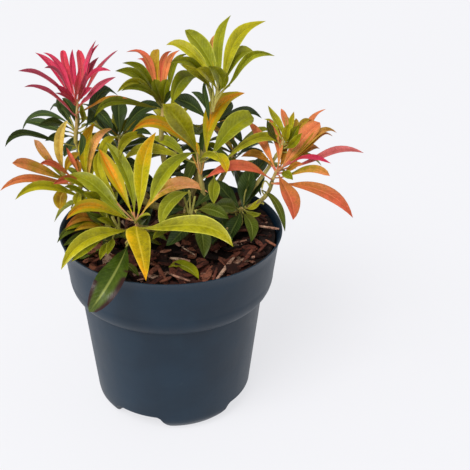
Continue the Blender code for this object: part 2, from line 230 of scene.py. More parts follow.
class Tree:
    # adds nodes to a node tree
    def __init__(self, tree):
        self.tree = tree

    def put(self, socket, value):
        if isinstance(value, Wire):
            self.tree.links.new(value.socket, socket)
        elif isinstance(value, (tuple, list)) and len(value) == 3 and socket.type == "RGBA":
            socket.default_value = (*value, 1.0)
        else:
            socket.default_value = value

    def node(self, kind, settings, inputs, output=0):
        made = self.tree.nodes.new(kind)
        for key, value in settings.items():
            if key == "stops":
                band = made.color_ramp
                while len(band.elements) < len(value):
                    band.elements.new(0.5)
                for element, (place, colour) in zip(band.elements, value):
                    element.position = place
                    element.color = (*colour, 1.0)
            else:
                setattr(made, key, value)
        for key, value in inputs.items():
            self.put(made.inputs[key], value)
        return Wire(self, made.outputs[output])


class Maker(Tree):
    # builds one material's nodes
    def __init__(self, name):
        self.material = bpy.data.materials.new(name)
        self.material.use_nodes = True
        self.shader = self.material.node_tree.nodes["Principled BSDF"]
        super().__init__(self.material.node_tree)

    def noise(self, scale, detail=3.0, stretch=(1, 1, 1), distortion=0.0):
        # spots of about 1/scale metres on Object coordinates
        place = self.node("ShaderNodeTexCoord", {}, {}, "Object")
        place = self.node("ShaderNodeMapping", {}, {"Vector": place, "Scale": stretch})
        inputs = {"Vector": place, "Scale": scale, "Detail": detail, "Distortion": distortion}
        return self.node("ShaderNodeTexNoise", {}, inputs)

    def mix(self, share, first, second, how="MIX"):
        settings = {"data_type": "RGBA", "blend_type": how}
        return self.node("ShaderNodeMix", settings, {0: share, 6: first, 7: second}, 2)

    def ramp(self, wire, stops):
        return self.node("ShaderNodeValToRGB", {"stops": stops}, {0: wire})

    def split(self, wire):
        made = self.tree.nodes.new("ShaderNodeSeparateXYZ")
        self.put(made.inputs[0], wire)
        return [Wire(self, made.outputs[axis]) for axis in range(3)]

    def layer(self, name):
        # the two values that a UV map of the piece holds
        return self.split(self.node("ShaderNodeUVMap", {"uv_map": name}, {}))[:2]

    def bump(self, height, strength, depth):
        return self.node("ShaderNodeBump", {}, {"Strength": strength, "Distance": depth, "Height": height})

    def finish(self, colour, roughness, normal=None, fixed=None):
        self.put(self.shader.inputs["Base Color"], colour)
        self.put(self.shader.inputs["Roughness"], roughness)
        if normal is not None:
            self.put(self.shader.inputs["Normal"], normal)
        for key, value in (fixed or {}).items():
            self.shader.inputs[key].default_value = value
        return self.material


def rgb(*levels):
    # a colour as it looks on a screen, 0 to 255, made linear
    return tuple(((c / 255 + 0.055) / 1.055) ** 2.4 if c > 10 else c / 255 / 12.92 for c in levels)


# Leaf colours
# Each tint is the colour at the leaf's foot, middle and tip, its midrib, its margin and its underside
leafTints = {
    "crimson": ((212, 66, 78), (192, 46, 78), (188, 48, 80), (226, 104, 112), (150, 30, 60), (206, 76, 98)),
    "rose": ((210, 86, 82), (198, 80, 102), (168, 66, 88), (222, 120, 124), (164, 54, 82), (204, 94, 110)),
    "pink": ((200, 110, 90), (184, 90, 88), (178, 92, 90), (204, 122, 106), (160, 80, 70), (190, 106, 94)),
    "coralRed": ((222, 100, 96), (196, 66, 76), (208, 54, 78), (234, 122, 118),
                 (150, 44, 56), (220, 104, 96)),
    "coralDeep": ((206, 124, 62), (196, 98, 62), (198, 90, 66), (226, 140, 100),
                  (166, 104, 50), (210, 120, 88)),
    "coral": ((214, 146, 80), (212, 122, 66), (214, 120, 74), (232, 166, 116),
              (170, 126, 44), (216, 150, 104)),
    "salmon": ((176, 128, 26), (200, 146, 56), (214, 138, 92), (224, 172, 96),
               (164, 134, 30), (210, 164, 104)),
    "rust": ((166, 104, 24), (166, 120, 30), (190, 112, 56), (196, 146, 70), (130, 80, 26), (180, 130, 70)),
    "orange": ((178, 164, 8), (214, 152, 4), (214, 130, 24), (206, 184, 70),
               (164, 156, 10), (196, 160, 50)),
    "ochre": ((176, 132, 22), (186, 146, 20), (186, 142, 40), (210, 180, 76),
              (166, 146, 24), (192, 162, 62)),
    "tan": ((190, 158, 60), (218, 180, 74), (210, 188, 100), (228, 202, 120),
            (180, 152, 48), (214, 184, 96)),
    "yellow": ((164, 162, 8), (180, 164, 6), (198, 146, 12), (212, 200, 80),
               (214, 204, 90), (192, 182, 60)),
    "lime": ((144, 140, 8), (160, 154, 8), (166, 156, 12), (192, 188, 62), (208, 204, 76), (166, 166, 60)),
    "green": ((128, 132, 8), (126, 130, 10), (138, 138, 12), (174, 178, 62),
              (190, 190, 76), (140, 146, 54)),
    "olive": ((112, 104, 8), (106, 114, 4), (126, 126, 10), (162, 162, 76), (136, 128, 44), (124, 124, 52)),
    "dark": ((58, 74, 22), (40, 60, 14), (50, 68, 20), (126, 140, 76), (34, 48, 18), (80, 94, 52)),
    "deep": ((92, 96, 20), (74, 88, 12), (70, 82, 16), (146, 154, 76), (80, 82, 30), (98, 110, 52)),
    "spotted": ((44, 62, 4), (60, 80, 14), (66, 80, 18), (160, 166, 84), (50, 24, 24), (96, 110, 50)),
    "amber": ((180, 162, 8), (204, 164, 6), (214, 148, 14), (222, 196, 60), (222, 206, 70), (200, 180, 60)),
    # peach is a pale coral tint made brighter than the leaves' own colour, as painted light for leaves that
    # lie in shade, with a painted pink highlight at its middle and tip
    "peach": ((214, 176, 50), (254, 184, 100), (255, 180, 136), (255, 206, 156),
              (226, 176, 64), (246, 184, 134)),
    "blush": ((158, 146, 20), (200, 146, 54), (212, 126, 76), (222, 176, 100),
              (200, 122, 80), (214, 146, 100)),
    "stalk": ((150, 146, 62), (166, 160, 76), (176, 164, 84), (190, 180, 104),
              (150, 140, 64), (170, 162, 80)),
    "stalkPink": ((170, 140, 80), (190, 150, 96), (186, 130, 84), (204, 166, 120),
                  (170, 120, 80), (190, 146, 96)),
    "stalkRed": ((200, 150, 90), (204, 116, 84), (210, 100, 84), (216, 134, 100),
                 (180, 90, 70), (206, 116, 84)),
    "stalkBrown": ((140, 104, 40), (166, 116, 46), (180, 122, 52), (196, 144, 74),
                   (130, 90, 38), (170, 116, 48)),
}
# where across the blade the margin's colour sets in and how strong it is, how glossy the leaf is, and how
# strong its side veins are
leafMargins = {"orange": (0.3, 0.75), "ochre": (0.4, 0.6), "salmon": (0.55, 0.5), "coral": (0.6, 0.45),
               "spotted": (0.48, 0.98), "lime": (0.82, 0.7), "green": (0.82, 0.7), "yellow": (0.82, 0.7),
               "dark": (0.84, 0.3), "coralDeep": (0.8, 0.6), "pink": (0.8, 0.6)}
leafGloss = {"dark": 0.28, "deep": 0.26, "spotted": 0.24, "green": 0.3, "lime": 0.3, "orange": 0.24,
             "ochre": 0.24}
leafVeins = {"spotted": 0.03, "dark": 0.24, "deep": 0.22, "green": 0.2, "lime": 0.2}
# all the leaves' finish: grain, speckle and patch are spots in a metre, veins and slant their count and angle
leafFinish = {"roughness": 0.34, "specular": 0.16, "veins": 15.0, "slant": 2.6, "grain": 230.0,
              "speckle": 598.0, "patch": 55.0, "vein": 0.12, "margin": (0.8, 0.45), "marginFade": 0.34,
              "dusk": 0.22, "rib": 0.62, "under": 0.7, "bump": 0.6, "bumpDepth": 0.0006}
# how far chance, the spots and the blade's two halves move the colour along the blade, and how much they
# lighten or darken it; where the two halves lighten and darken, that is painted shade of the folded blade
leafDrift = {"chance": 0.4, "halfTintAndPaintedShade": 1.2, "patch": 1.1, "mottle": 0.7}
leafShade = {"patch": 0.9, "mottle": 0.65, "speckle": 0.7, "chance": 0.3, "halfTintAndPaintedShade": 0.5}


def makeLeafMaterial(name, tint):
    maker = Maker("leaf_" + name)
    foot, middle, tip, rib, margin, under = [rgb(*c) for c in tint]
    along, across = maker.layer("leafPlace")
    chance, side = maker.layer("leafTone")
    edge = abs(across * 2 - 1)
    mottle = maker.noise(leafFinish["grain"], 4.0) - 0.5
    speckle = maker.noise(leafFinish["speckle"], 3.0) - 0.5
    patch = maker.noise(leafFinish["patch"], 2.0) - 0.5
    # one half of the blade takes more of the tip's colour and is painted lighter, the other darker, as
    # painted shade of the fold; chance picks which half
    halfTintAndPaintedShade = (across - 0.5) * (chance - 0.5) * leafDrift["halfTintAndPaintedShade"]
    spread = along + (chance - 0.5) * leafDrift["chance"] + halfTintAndPaintedShade
    spread = spread + patch * leafDrift["patch"] + mottle * leafDrift["mottle"]
    colour = maker.ramp(spread, [(0.08, foot), (0.5, middle), (0.95, tip)])
    shade = patch * leafShade["patch"] + mottle * leafShade["mottle"] + speckle * leafShade["speckle"]
    # the halves' term is painted shade of the fold; patch, mottle, speckle and chance are tone that varies at
    # random
    shade = shade + (chance - 0.5) * leafShade["chance"] + halfTintAndPaintedShade * leafShade["halfTintAndPaintedShade"] + 1.0
    grey = maker.node("ShaderNodeCombineColor", {}, {0: shade, 1: shade, 2: shade})
    colour = maker.mix(1.0, colour, grey, "MULTIPLY")
    # side veins, and the darker bands between them
    veinPath = along * leafFinish["veins"] - edge * leafFinish["slant"]
    wave = maker.node("ShaderNodeMath", {"operation": "SINE"}, {0: veinPath * (2 * math.pi)})
    veins = wave.between(0.72, 1.0) * edge.between(1.0, 0.8)
    colour = maker.mix(veins * leafVeins.get(name, leafFinish["vein"]), colour, rib)
    dusk = wave.between(-0.5, -1.0) * edge.between(0.1, 0.3)
    colour = maker.mix(dusk * leafFinish["dusk"], colour, margin if name in ("dark", "deep") else foot)
    # margin, midrib and underside
    start, share = leafMargins.get(name, leafFinish["margin"])
    if name == "spotted":
        share = (along + patch * 1.2).between(0.47, 0.59) * share
    rim = (edge + mottle * 0.2).between(start, min(start + leafFinish["marginFade"], 1.0))
    colour = maker.mix(rim * share, colour, margin)
    colour = maker.mix(edge.between(0.14, 0.03) * along.between(1.0, 0.75) * leafFinish["rib"], colour, rib)
    colour = maker.mix(side * leafFinish["under"], colour, under)
    # the midrib is a groove on the upper face and a ridge on the underside
    groove = edge.between(0.12, 0.0)
    height = veins * -0.3 - groove * 0.3 * (1 - side) + groove * side + mottle * 0.35
    normal = maker.bump(height, leafFinish["bump"], leafFinish["bumpDepth"])
    roughness = leafFinish["roughness"] + side * 0.15 + mottle * 0.16
    gloss = leafGloss.get(name, leafFinish["specular"])
    return maker.finish(colour, roughness, normal, {"Specular IOR Level": gloss})


leafMaterials = {name: makeLeafMaterial(name, tint) for name, tint in leafTints.items()}
print("leaf colours made", len(leafMaterials))


# One leaf
# Shares of the leaf's length or width, half widths and thicknesses in mm, how often and how much its blade
# ripples, the grid of a plain and of a fine leaf, and where a leaf lies on its strip of the baking sheet.
# Least is the narrowest leaf as a share of its length
leafShape = {"petiole": 0.05, "petioleHalf": 0.65, "bulge": 0.1, "waves": (1.6, 2.8), "ripple": 0.045,
             "rippleShift": 1.3, "opens": 0.2, "thick": 0.45, "stalkThick": 1.1, "stalkSides": 5,
             "plainGrid": (9, 4), "fineGrid": (15, 6), "stripAcross": (0.08, 0.84),
             "stripAlong": (0.03, 0.94), "least": 0.1}
# powers of the outline's rise from the foot and fall to the tip, and the fold in degrees
leafForms = {"lance": (1.4, 1.0, 30.0), "blunt": (1.4, 0.55, 26.0), "oval": (0.95, 0.85, 16.0),
             "drop": (0.42, 1.1, 10.0), "spade": (1.15, 0.78, 14.0)}


def halfWidth(share, width, form):
    rise, fall, _ = leafForms[form]
    place = (share - leafShape["petiole"]) / (1 - leafShape["petiole"])
    if place <= 0:
        return leafShape["petioleHalf"] * mm
    peak = rise / (rise + fall)
    shape = (place / peak) ** rise * (max(1 - place, 0) / (1 - peak)) ** fall
    return leafShape["petioleHalf"] * mm * (1 - place) + width / 2 * shape


def leafFaces(first, rows, columns):
    # the upper face's quads and the underside's two to a row, with 1 for each face of the underside
    stride = columns + 2
    last = first + rows * stride
    faces, sides = [], []
    for row in range(rows):
        low, high = first + row * stride, first + (row + 1) * stride
        under, underHigh = low + columns + 1, high + columns + 1
        if row == rows - 1:  # the last row runs to the tip's one point
            faces += [(low + column, last, low + column + 1) for column in range(columns)]
            faces += [(low, under, last), (under, low + columns, last)]
        else:
            faces += [(low + column, high + column, high + column + 1, low + column + 1)
                      for column in range(columns)]
            faces += [(low, under, underHigh, high), (under, low + columns, high + columns, underHigh)]
        sides += [0.0] * columns + [1.0, 1.0]
    faces.append(tuple(range(first, first + columns + 2)))
    return faces, sides + [0.0]


class LeafPile:
    # leaves gathered for one piece
    def __init__(self, seed):
        self.points, self.faces, self.tints, self.corners = [], [], [], []
        self.count = 0
        self.chance = random.Random(seed)

    def add(self, foot, low, high, tip, width, tint, normal, fine=False, form="lance"):
        # the blade follows a curve through its foot, a third and two thirds of the way, and its tip
        rows, columns = leafShape["fineGrid"] if fine else leafShape["plainGrid"]
        curve = curveThrough(foot, low, high, tip)
        _, hold, draw, _ = curve
        chord = (tip - foot).normalized()
        sideways = normal.cross(chord)
        if sideways.length < 0.05:
            sideways = Vector((1, 0.2, 0)).cross(chord)
        sideways.normalize()
        foldAngle = math.radians(leafForms[form][2])
        phase, waves = self.chance.random() * roughTurn, self.chance.uniform(*leafShape["waves"])
        first = len(self.points)
        places = []
        for row in range(rows):
            share = row / rows
            rest = 1 - share
            spot = curvePoint(curve, share)
            ahead = (hold - foot) * rest ** 2 + (draw - hold) * (2 * share * rest) + (tip - draw) * share ** 2
            ahead.normalize()
            side = (sideways - ahead * sideways.dot(ahead)).normalized()
            out = ahead.cross(side)
            half = halfWidth(share, width, form)
            opened = smoothStep(0.0, leafShape["opens"], share)
            for column in range(columns + 1):
                across = column / columns * 2 - 1
                arm = abs(across)
                shift = leafShape["rippleShift"] if across > 0 else 0.0
                wave = math.sin(phase + share * waves * roughTurn + shift)
                lift = arm * half * math.sin(foldAngle) * opened
                lift += half * leafShape["bulge"] * math.sin(math.pi * arm) * opened
                lift += width * leafShape["ripple"] * wave * arm ** 2 * opened
                self.points.append(spot + side * (across * half * math.cos(foldAngle)) + out * lift)
                places.append((share, column / columns))
            thick = blend(leafShape["stalkThick"], leafShape["thick"], opened) * mm
            self.points.append(spot - out * thick)
            places.append((share, 0.5))
        self.points.append(tip)
        places.append((1.0, 0.5))
        tone = self.chance.random()
        for face, side in zip(*leafFaces(first, rows, columns)):
            self.keep(face, tint, [(*places[index - first], tone, side, self.count) for index in face])
        self.count += 1

    def stalk(self, path, radius, tint):
        # a thin round stalk along a path of points
        sides = leafShape["stalkSides"]
        first = len(self.points)
        tone = self.chance.random()
        for spot, rays in zip(path, ringRays(path, Vector((0.3, 1, 0.2)), sides)):
            self.points += [spot + ray * radius for ray in rays]
        for face in stitchRings(len(path), sides):
            spots = [(index // sides / (len(path) - 1), index % sides / (sides - 1)) for index in face]
            corners = [(*spot, tone, 0.0, self.count) for spot in spots]
            self.keep(tuple(first + index for index in face), tint, corners)
        self.count += 1

    def keep(self, face, tint, corners):
        self.faces.append(face)
        self.tints.append(tint)
        self.corners += corners

    def make(self, name):
        used = sorted(set(self.tints))
        slots = [used.index(tint) for tint in self.tints]
        piece = newPiece(name, self.points, self.faces, [leafMaterials[tint] for tint in used], slots, 60.0)
        place = piece.data.uv_layers.new(name="leafPlace")
        tone = piece.data.uv_layers.new(name="leafTone")
        sheet = piece.data.uv_layers.new(name="OFBake")
        strips = self.count * 2  # both faces of each leaf, each about four times as long as wide
        columns = max(1, math.ceil(math.sqrt(strips * 4)))
        rows = math.ceil(strips / columns)
        (left, wide), (low, long) = leafShape["stripAcross"], leafShape["stripAlong"]
        for index, (along, across, chance, side, leaf) in enumerate(self.corners):
            place.data[index].uv = (along, across)
            tone.data[index].uv = (chance, side)
            strip = leaf * 2 + (1 if side > 0.5 else 0)
            column, row = strip % columns, strip // columns
            across, along = column + left + across * wide, row + low + along * long
            sheet.data[index].uv = (across / columns, along / rows)
        return piece


# The whorls
# Colours are dealt out by spray: young leaves on top of a whorl, old ones below. Lengths in mm. Two whorls
# share the piece and the CAD node of the whorl that is named last in their row
whorlKeys = ("slot", "top", "limb", "young", "youngCount", "youngLength", "old", "oldCount", "node")
whorlRows = {
    "red": ("leaves_red", (-75, 25, 272), "bough_red",
            ("crimson", "rose", "coralRed"), 9, (28, 42), ("dark",), 0),
    "left_dark": ("leaves_dark", (-79, 28, 247), "bough_red",
                  ("dark",), 0, (30, 40), ("dark", "dark", "olive"), 14),
    "mid_top": ("leaves_orange", (-5, 20, 270), "bough_middle",
                ("ochre", "olive", "green"), 10, (26, 42), ("dark", "olive"), 9),
    "dark_left": ("leaves_dark", (-43, 42, 232), "bough_dark_left",
                  ("dark", "deep"), 8, (24, 36), ("dark",), 12),
    "tall": ("leaves_yellow_green", (37, 25, 273), "bough_tall",
             ("lime", "green", "lime", "olive"), 12, (34, 50), ("olive", "dark"), 4),
    "dark_tall": ("leaves_dark", (32, 45, 246), "bough_tall", ("dark",), 4, (28, 40), ("dark", "deep"), 14),
    "centre": ("leaves_yellow_green", (24, -8, 233), "bough_centre",
               ("lime", "orange", "green"), 8, (24, 38), ("green", "olive", "dark"), 9),
    "low_centre": ("leaves_dark", (11, -22, 196), "bough_low_centre",
                   ("deep", "dark"), 8, (24, 40), ("dark",), 10),
    "front": ("leaves_orange", (-29, -45, 199), "bough_front",
              ("olive", "green"), 4, (14, 22), ("green", "deep", "dark"), 8),
    "left": ("leaves_orange", (-82, -13, 218), "bough_far_left",
             ("lime", "orange", "salmon", "green"), 10, (24, 38), ("green", "olive", "lime"), 8),
    "left_up": ("leaves_orange", (-70, 0, 216), "bough_far_left",
                ("ochre", "lime", "orange"), 7, (24, 36), ("green", "olive"), 5, "left"),
    "coral": ("leaves_coral", (89, 5, 217), "bough_coral",
              ("coral", "rust", "salmon"), 9, (24, 42), ("olive", "rust"), 4),
    "young": ("leaves_orange", (97, 28, 236), "bough_young",
              ("lime", "orange", "green", "rust"), 16, (18, 30), ("green", "deep", "olive"), 10),
    "dark_right": ("leaves_dark", (60, 4, 182), "bough_right", ("deep", "dark"), 8, (24, 38), ("dark",), 9),
    "low_right": ("leaves_dark", (47, -17, 174), "bough_low_right",
                  ("deep", "dark"), 4, (18, 28), ("dark",), 5, "dark_right"),
    "low_left": ("leaves_dark", (-54, -25, 182), "bough_low_left",
                 ("green", "deep"), 8, (22, 36), ("deep", "dark"), 8),
    "hanging": ("leaves_dark", (-37, -54, 182), "bough_front", ("deep",), 0, (24, 30), ("deep",), 0),
    "back_left": ("leaves_dark", (-48, 80, 214), "bough_back_left",
                  ("green", "lime", "orange"), 13, (32, 48), ("dark", "dark", "olive"), 16),
    "back": ("leaves_olive", (3, 84, 218), "bough_back",
             ("lime", "ochre", "green"), 13, (32, 48), ("dark", "olive", "dark"), 16),
    "back_right": ("leaves_dark", (58, 70, 210), "bough_back_right",
                   ("green", "coral", "orange"), 13, (30, 46), ("dark", "olive", "dark"), 16),
    "back_low": ("leaves_dark", (-12, 50, 188), "bough_back", ("deep", "dark"), 8, (26, 40), ("dark",), 12),
}
whorls = {name: dict(zip(whorlKeys, row)) for name, row in whorlRows.items()}

# The leaves that the photograph shows, whorl by whorl. Each row has its tint, how wide it looks there in
# pixels, its reach from foot to tip in mm, whether it leans to the far or the near side, the pixels of its
# foot, of a third and two thirds of the way and of its tip, and its form where it isn't a lance
leafKeys = ("tint", "seen", "reach", "away", "foot", "low", "high", "tip", "form")
far, near = True, False
shownLeaves = {}
# the red rosette on the left
shownLeaves["red"] = (
    ("coralRed", 7, 58, far, (75, 99), (70, 82), (65, 64), (63, 50), "blunt"),
    ("crimson", 5.7, 58, far, (76, 99), (74, 82), (72, 66), (72.5, 49)),
    ("coralRed", 7.8, 57, far, (78, 99), (81, 82), (82, 66), (78, 49.5), "blunt"),
    ("coralRed", 5.3, 42, near, (76, 101), (77, 90), (79, 79), (79.5, 66)),
    ("rose", 5, 34, near, (79, 101), (81, 92), (84, 83), (86, 71)),
    ("rose", 4.5, 62, far, (79, 99), (84, 80), (88, 62), (96, 40)),
    ("crimson", 3.6, 60, far, (79, 99), (86, 79), (90, 60), (99, 44)),
    ("rose", 5.7, 52, far, (80, 98), (85, 82), (90, 69), (99, 57)),
    ("rose", 3.1, 62, far, (81, 98), (91, 83), (102, 66), (118, 50)),
    ("crimson", 3.6, 48, near, (79, 96), (87, 81), (97, 71), (111, 71)),
    ("rose", 5.4, 48, near, (81, 104), (91, 94), (102, 84), (116, 77)),
    ("crimson", 5.7, 26, near, (79, 99), (83, 94), (87, 90), (92.5, 87.5)),
    ("rose", 3.6, 26, near, (79, 106), (84, 101), (88, 98), (93, 95)),
    ("crimson", 7, 62, far, (74, 101), (66, 86), (53, 67), (35, 52.5)),
    ("crimson", 5.4, 56, far, (74, 100), (67, 82), (58, 64), (43, 52.5)),
    ("rose", 2.7, 50, near, (73, 99), (64, 84), (56, 71), (44, 68)),
    ("rose", 4, 68, near, (73, 101), (57, 87), (39, 75), (18, 71)),
    ("rose", 3.6, 60, near, (75, 115), (61, 102), (44, 90), (24, 87)),
    ("crimson", 6.6, 30, near, (76, 103), (70, 97), (63, 91), (55, 84)),
    ("rose", 2.7, 28, near, (75, 105), (69, 99), (63, 95), (55, 93)),
    ("rust", 3.1, 52, near, (79, 112), (93, 106), (109, 99), (128, 99)),
)
# dark leaves under the rosette
shownLeaves["left_dark"] = (
    ("dark", 5.5, 60, far, (68, 123), (53, 115), (36, 115), (22, 131)),
    ("dark", 6.5, 72, near, (62, 143), (43, 138), (21, 134), (5, 147)),
    ("dark", 8.5, 56, far, (70, 132), (55, 128), (41, 123), (25, 123)),
    ("dark", 8, 44, near, (70, 128), (60, 124), (50, 122), (38, 126)),
    ("dark", 7, 36, near, (70, 136), (62, 136), (54, 137), (45, 141)),
    ("dark", 4, 36, far, (70, 118), (63, 109), (56, 105), (50, 111)),
    ("dark", 10, 36, far, (72, 126), (67, 117), (62, 108), (57, 97)),
    ("dark", 9, 28, far, (78, 128), (76, 118), (70, 106), (62, 98)),
    ("dark", 12, 52, far, (86, 128), (92, 110), (101, 93), (118, 95.5)),
    ("dark", 9, 46, near, (84, 104), (95, 109), (105, 118), (113, 129)),
    ("dark", 9, 34, far, (84, 126), (92, 120), (97, 112), (101, 103)),
    ("olive", 6, 30, near, (80, 124), (84, 117), (83, 110), (82, 104)),
    ("dark", 6, 34, near, (79, 132), (83, 139), (83, 147), (80, 156)),
    ("dark", 8, 30, far, (76, 134), (72, 141), (68, 148), (64, 157)),
)
# middle top
shownLeaves["mid_top"] = (
    ("coralDeep", 6, 62, far, (157, 97), (153, 74), (145, 56), (126, 52)),
    ("coralDeep", 6, 52, far, (157, 97), (153, 81), (148, 65), (137, 59)),
    ("ochre", 9.5, 56, far, (159, 97), (157, 78), (155, 62), (158, 49), "blunt"),
    ("coralDeep", 6, 54, far, (160, 96), (161, 78), (163, 61), (172, 51)),
    ("coral", 6, 54, far, (161, 96), (165, 77), (169, 61), (180, 50)),
    ("green", 7, 54, near, (158, 101), (149, 81), (139, 67), (122, 63)),
    ("green", 9, 58, near, (158, 102), (145, 83), (131, 72), (115, 71)),
    ("lime", 8, 52, near, (158, 103), (146, 88), (132, 82), (117, 92.5)),
    ("olive", 6, 52, near, (162, 107), (152, 94), (137, 87), (121, 91)),
    ("olive", 11, 26, near, (162, 104), (160, 96), (157, 88), (154, 79), "blunt"),
    ("olive", 11, 26, near, (163, 104), (164, 96), (165, 88), (167, 79), "blunt"),
    ("olive", 6, 58, far, (164, 102), (170, 80), (175, 63), (188, 54)),
    ("dark", 5, 30, near, (163, 106), (167, 99), (170, 94), (174, 89)),
    ("olive", 8, 70, near, (158, 108), (133, 103), (110, 102), (94, 118)),
)
# dark leaves between the rosette and the middle
shownLeaves["dark_left"] = (
    ("dark", 15.5, 38, far, (120, 136), (119, 123), (118.5, 112), (118, 99), "blunt"),
    ("dark", 12, 58, far, (122, 135), (133, 117), (148, 107), (166, 110)),
    ("dark", 9, 48, near, (124, 135), (138, 124), (150, 118), (164, 122)),
    ("dark", 6, 34, near, (124, 136), (134, 132), (143, 131), (152, 135)),
    ("dark", 5, 30, near, (118, 135), (114, 129), (109, 124), (104, 123)),
    ("dark", 7, 34, far, (117, 137), (108, 130), (101, 122), (95, 112)),
)
# the tall yellow-green whorl
shownLeaves["tall"] = (
    ("green", 10, 76, far, (220, 88), (218.5, 60), (220, 37), (231, 15)),
    ("lime", 13, 80, far, (221, 88), (228, 60), (239, 36), (266, 21)),
    ("green", 8, 64, near, (224, 90), (239, 71), (252, 56), (275, 56)),
    ("green", 11, 56, far, (221, 88), (228, 69), (240, 53), (259, 57)),
    ("green", 16, 72, far, (218, 88), (210, 62), (198, 43), (185, 30)),
    ("lime", 11, 68, far, (216, 86), (203, 65), (186, 48), (166, 45)),
    ("peach", 8, 62, far, (218, 86), (215, 64), (212.5, 48), (217, 33)),
    ("green", 12, 40, near, (219, 90), (220, 81), (217, 72), (208, 66)),
    ("lime", 10, 38, near, (216, 88), (210, 78), (204, 71), (196, 69)),
    ("green", 9, 30, near, (219, 92), (223, 83), (223, 75), (219, 67)),
    ("olive", 9, 60, near, (213, 93), (201, 73), (187, 61), (170, 63)),
    ("lime", 7, 50, near, (213, 91), (203, 79), (193, 71), (180, 64)),
    ("olive", 15, 56, near, (205, 80), (189, 76), (178, 85), (172, 103)),
    ("dark", 5, 50, near, (206, 78), (204, 90), (206, 104), (209, 122)),
)
# dark leaves under it
shownLeaves["dark_tall"] = (
    ("dark", 14, 48, far, (208, 120), (197, 109), (186, 102), (170, 98)),
    ("dark", 8, 60, far, (211, 124), (230, 115), (246, 111), (262, 118.5)),
    ("dark", 10, 34, far, (214, 124), (221, 116), (227, 109), (232, 102)),
    ("dark", 11, 36, far, (213, 126), (224, 124), (233, 130), (242, 143)),
    ("dark", 6, 30, far, (209, 114), (204, 103), (199, 96), (191, 92)),
    ("deep", 6, 30, near, (207, 124), (203, 127), (199, 131), (195, 128)),
    ("dark", 5, 30, near, (207, 122), (204, 132), (202, 142), (203, 152)),
)
# centre
shownLeaves["centre"] = (
    ("lime", 21, 66, near, (197, 153), (189, 136), (178, 120), (163, 104), "blunt"),
    ("orange", 12.5, 68, near, (196, 152), (179, 135), (155, 122), (132, 132)),
    ("orange", 17, 74, far, (206.5, 154), (208.5, 129), (219, 106), (245, 93)),
    ("green", 20, 64, far, (210, 157), (221, 141), (235, 125), (254, 118), "blunt"),
    ("lime", 9, 74, far, (224, 161), (243, 145), (266, 137), (289, 150)),
    ("yellow", 9, 34, near, (216, 152), (221, 157), (225, 164), (226.5, 173.5)),
    ("lime", 6, 28, near, (199, 161), (206, 155), (214, 156), (222, 164)),
    ("green", 14, 64, near, (196, 152.5), (178, 160), (162, 177), (150.5, 203)),
    ("green", 13, 48, near, (189, 192), (176, 197), (165.5, 208), (161, 226), "oval"),
    ("green", 11, 32, near, (214, 176), (214, 184), (213, 193), (214, 204)),
    ("lime", 10, 62, far, (183, 158), (165, 151), (144, 149), (123, 161)),
    ("green", 10, 44, far, (186, 158), (177, 148), (166, 141), (150, 138)),
    ("lime", 9, 44, far, (120, 160), (121, 147), (131, 137), (148, 139)),
    ("lime", 9, 46, far, (106, 176), (102, 158), (107, 143), (120, 138)),
)
# low in the middle
shownLeaves["low_centre"] = (
    ("deep", 15, 44, near, (196, 212), (200, 226), (203, 241), (204, 258)),
    ("dark", 15, 46, near, (190, 213), (186, 224), (178, 236), (166, 246)),
    ("dark", 13, 50, near, (196, 211), (208, 222), (220, 233), (233, 240)),
    ("dark", 14, 44, far, (193, 209), (203, 199), (212, 191), (222, 183)),
    ("dark", 13, 42, far, (187, 210), (178, 208), (169, 210), (159, 217)),
    ("olive", 12, 46, near, (188, 212), (178, 219), (166, 227), (152, 240)),
    ("deep", 12, 40, near, (197, 210), (207, 209), (218, 212), (229, 219)),
    ("dark", 10, 36, far, (190, 208), (188, 199), (184, 190), (178, 181)),
)
# the front rosette
shownLeaves["front"] = (
    ("lime", 14, 80, near, (127, 230), (108, 233), (83, 242), (61, 270)),
    ("amber", 22, 60, near, (136, 226), (138, 239), (142.5, 258), (146, 281), "drop"),
    ("lime", 17.5, 90, near, (139, 228), (172, 226), (206, 226.5), (233.5, 247)),
    ("orange", 12, 62, near, (127, 219), (107, 210), (85, 206), (66, 220)),
    ("green", 15, 64, far, (129, 219), (110, 201), (91, 183), (68, 175)),
    ("orange", 13, 68, far, (132, 213), (121, 190), (110, 169), (99, 149)),
    ("green", 12, 74, far, (134, 213), (131, 188), (121, 163), (105, 142)),
    ("lime", 9, 60, far, (118, 204), (107, 188), (98, 170), (99, 151)),
    ("yellow", 15.5, 76, far, (138, 215), (141, 190), (144, 161), (156, 132)),
    ("peach", 12.5, 66, far, (142, 214), (159, 193), (181, 184), (208, 192.5)),
)
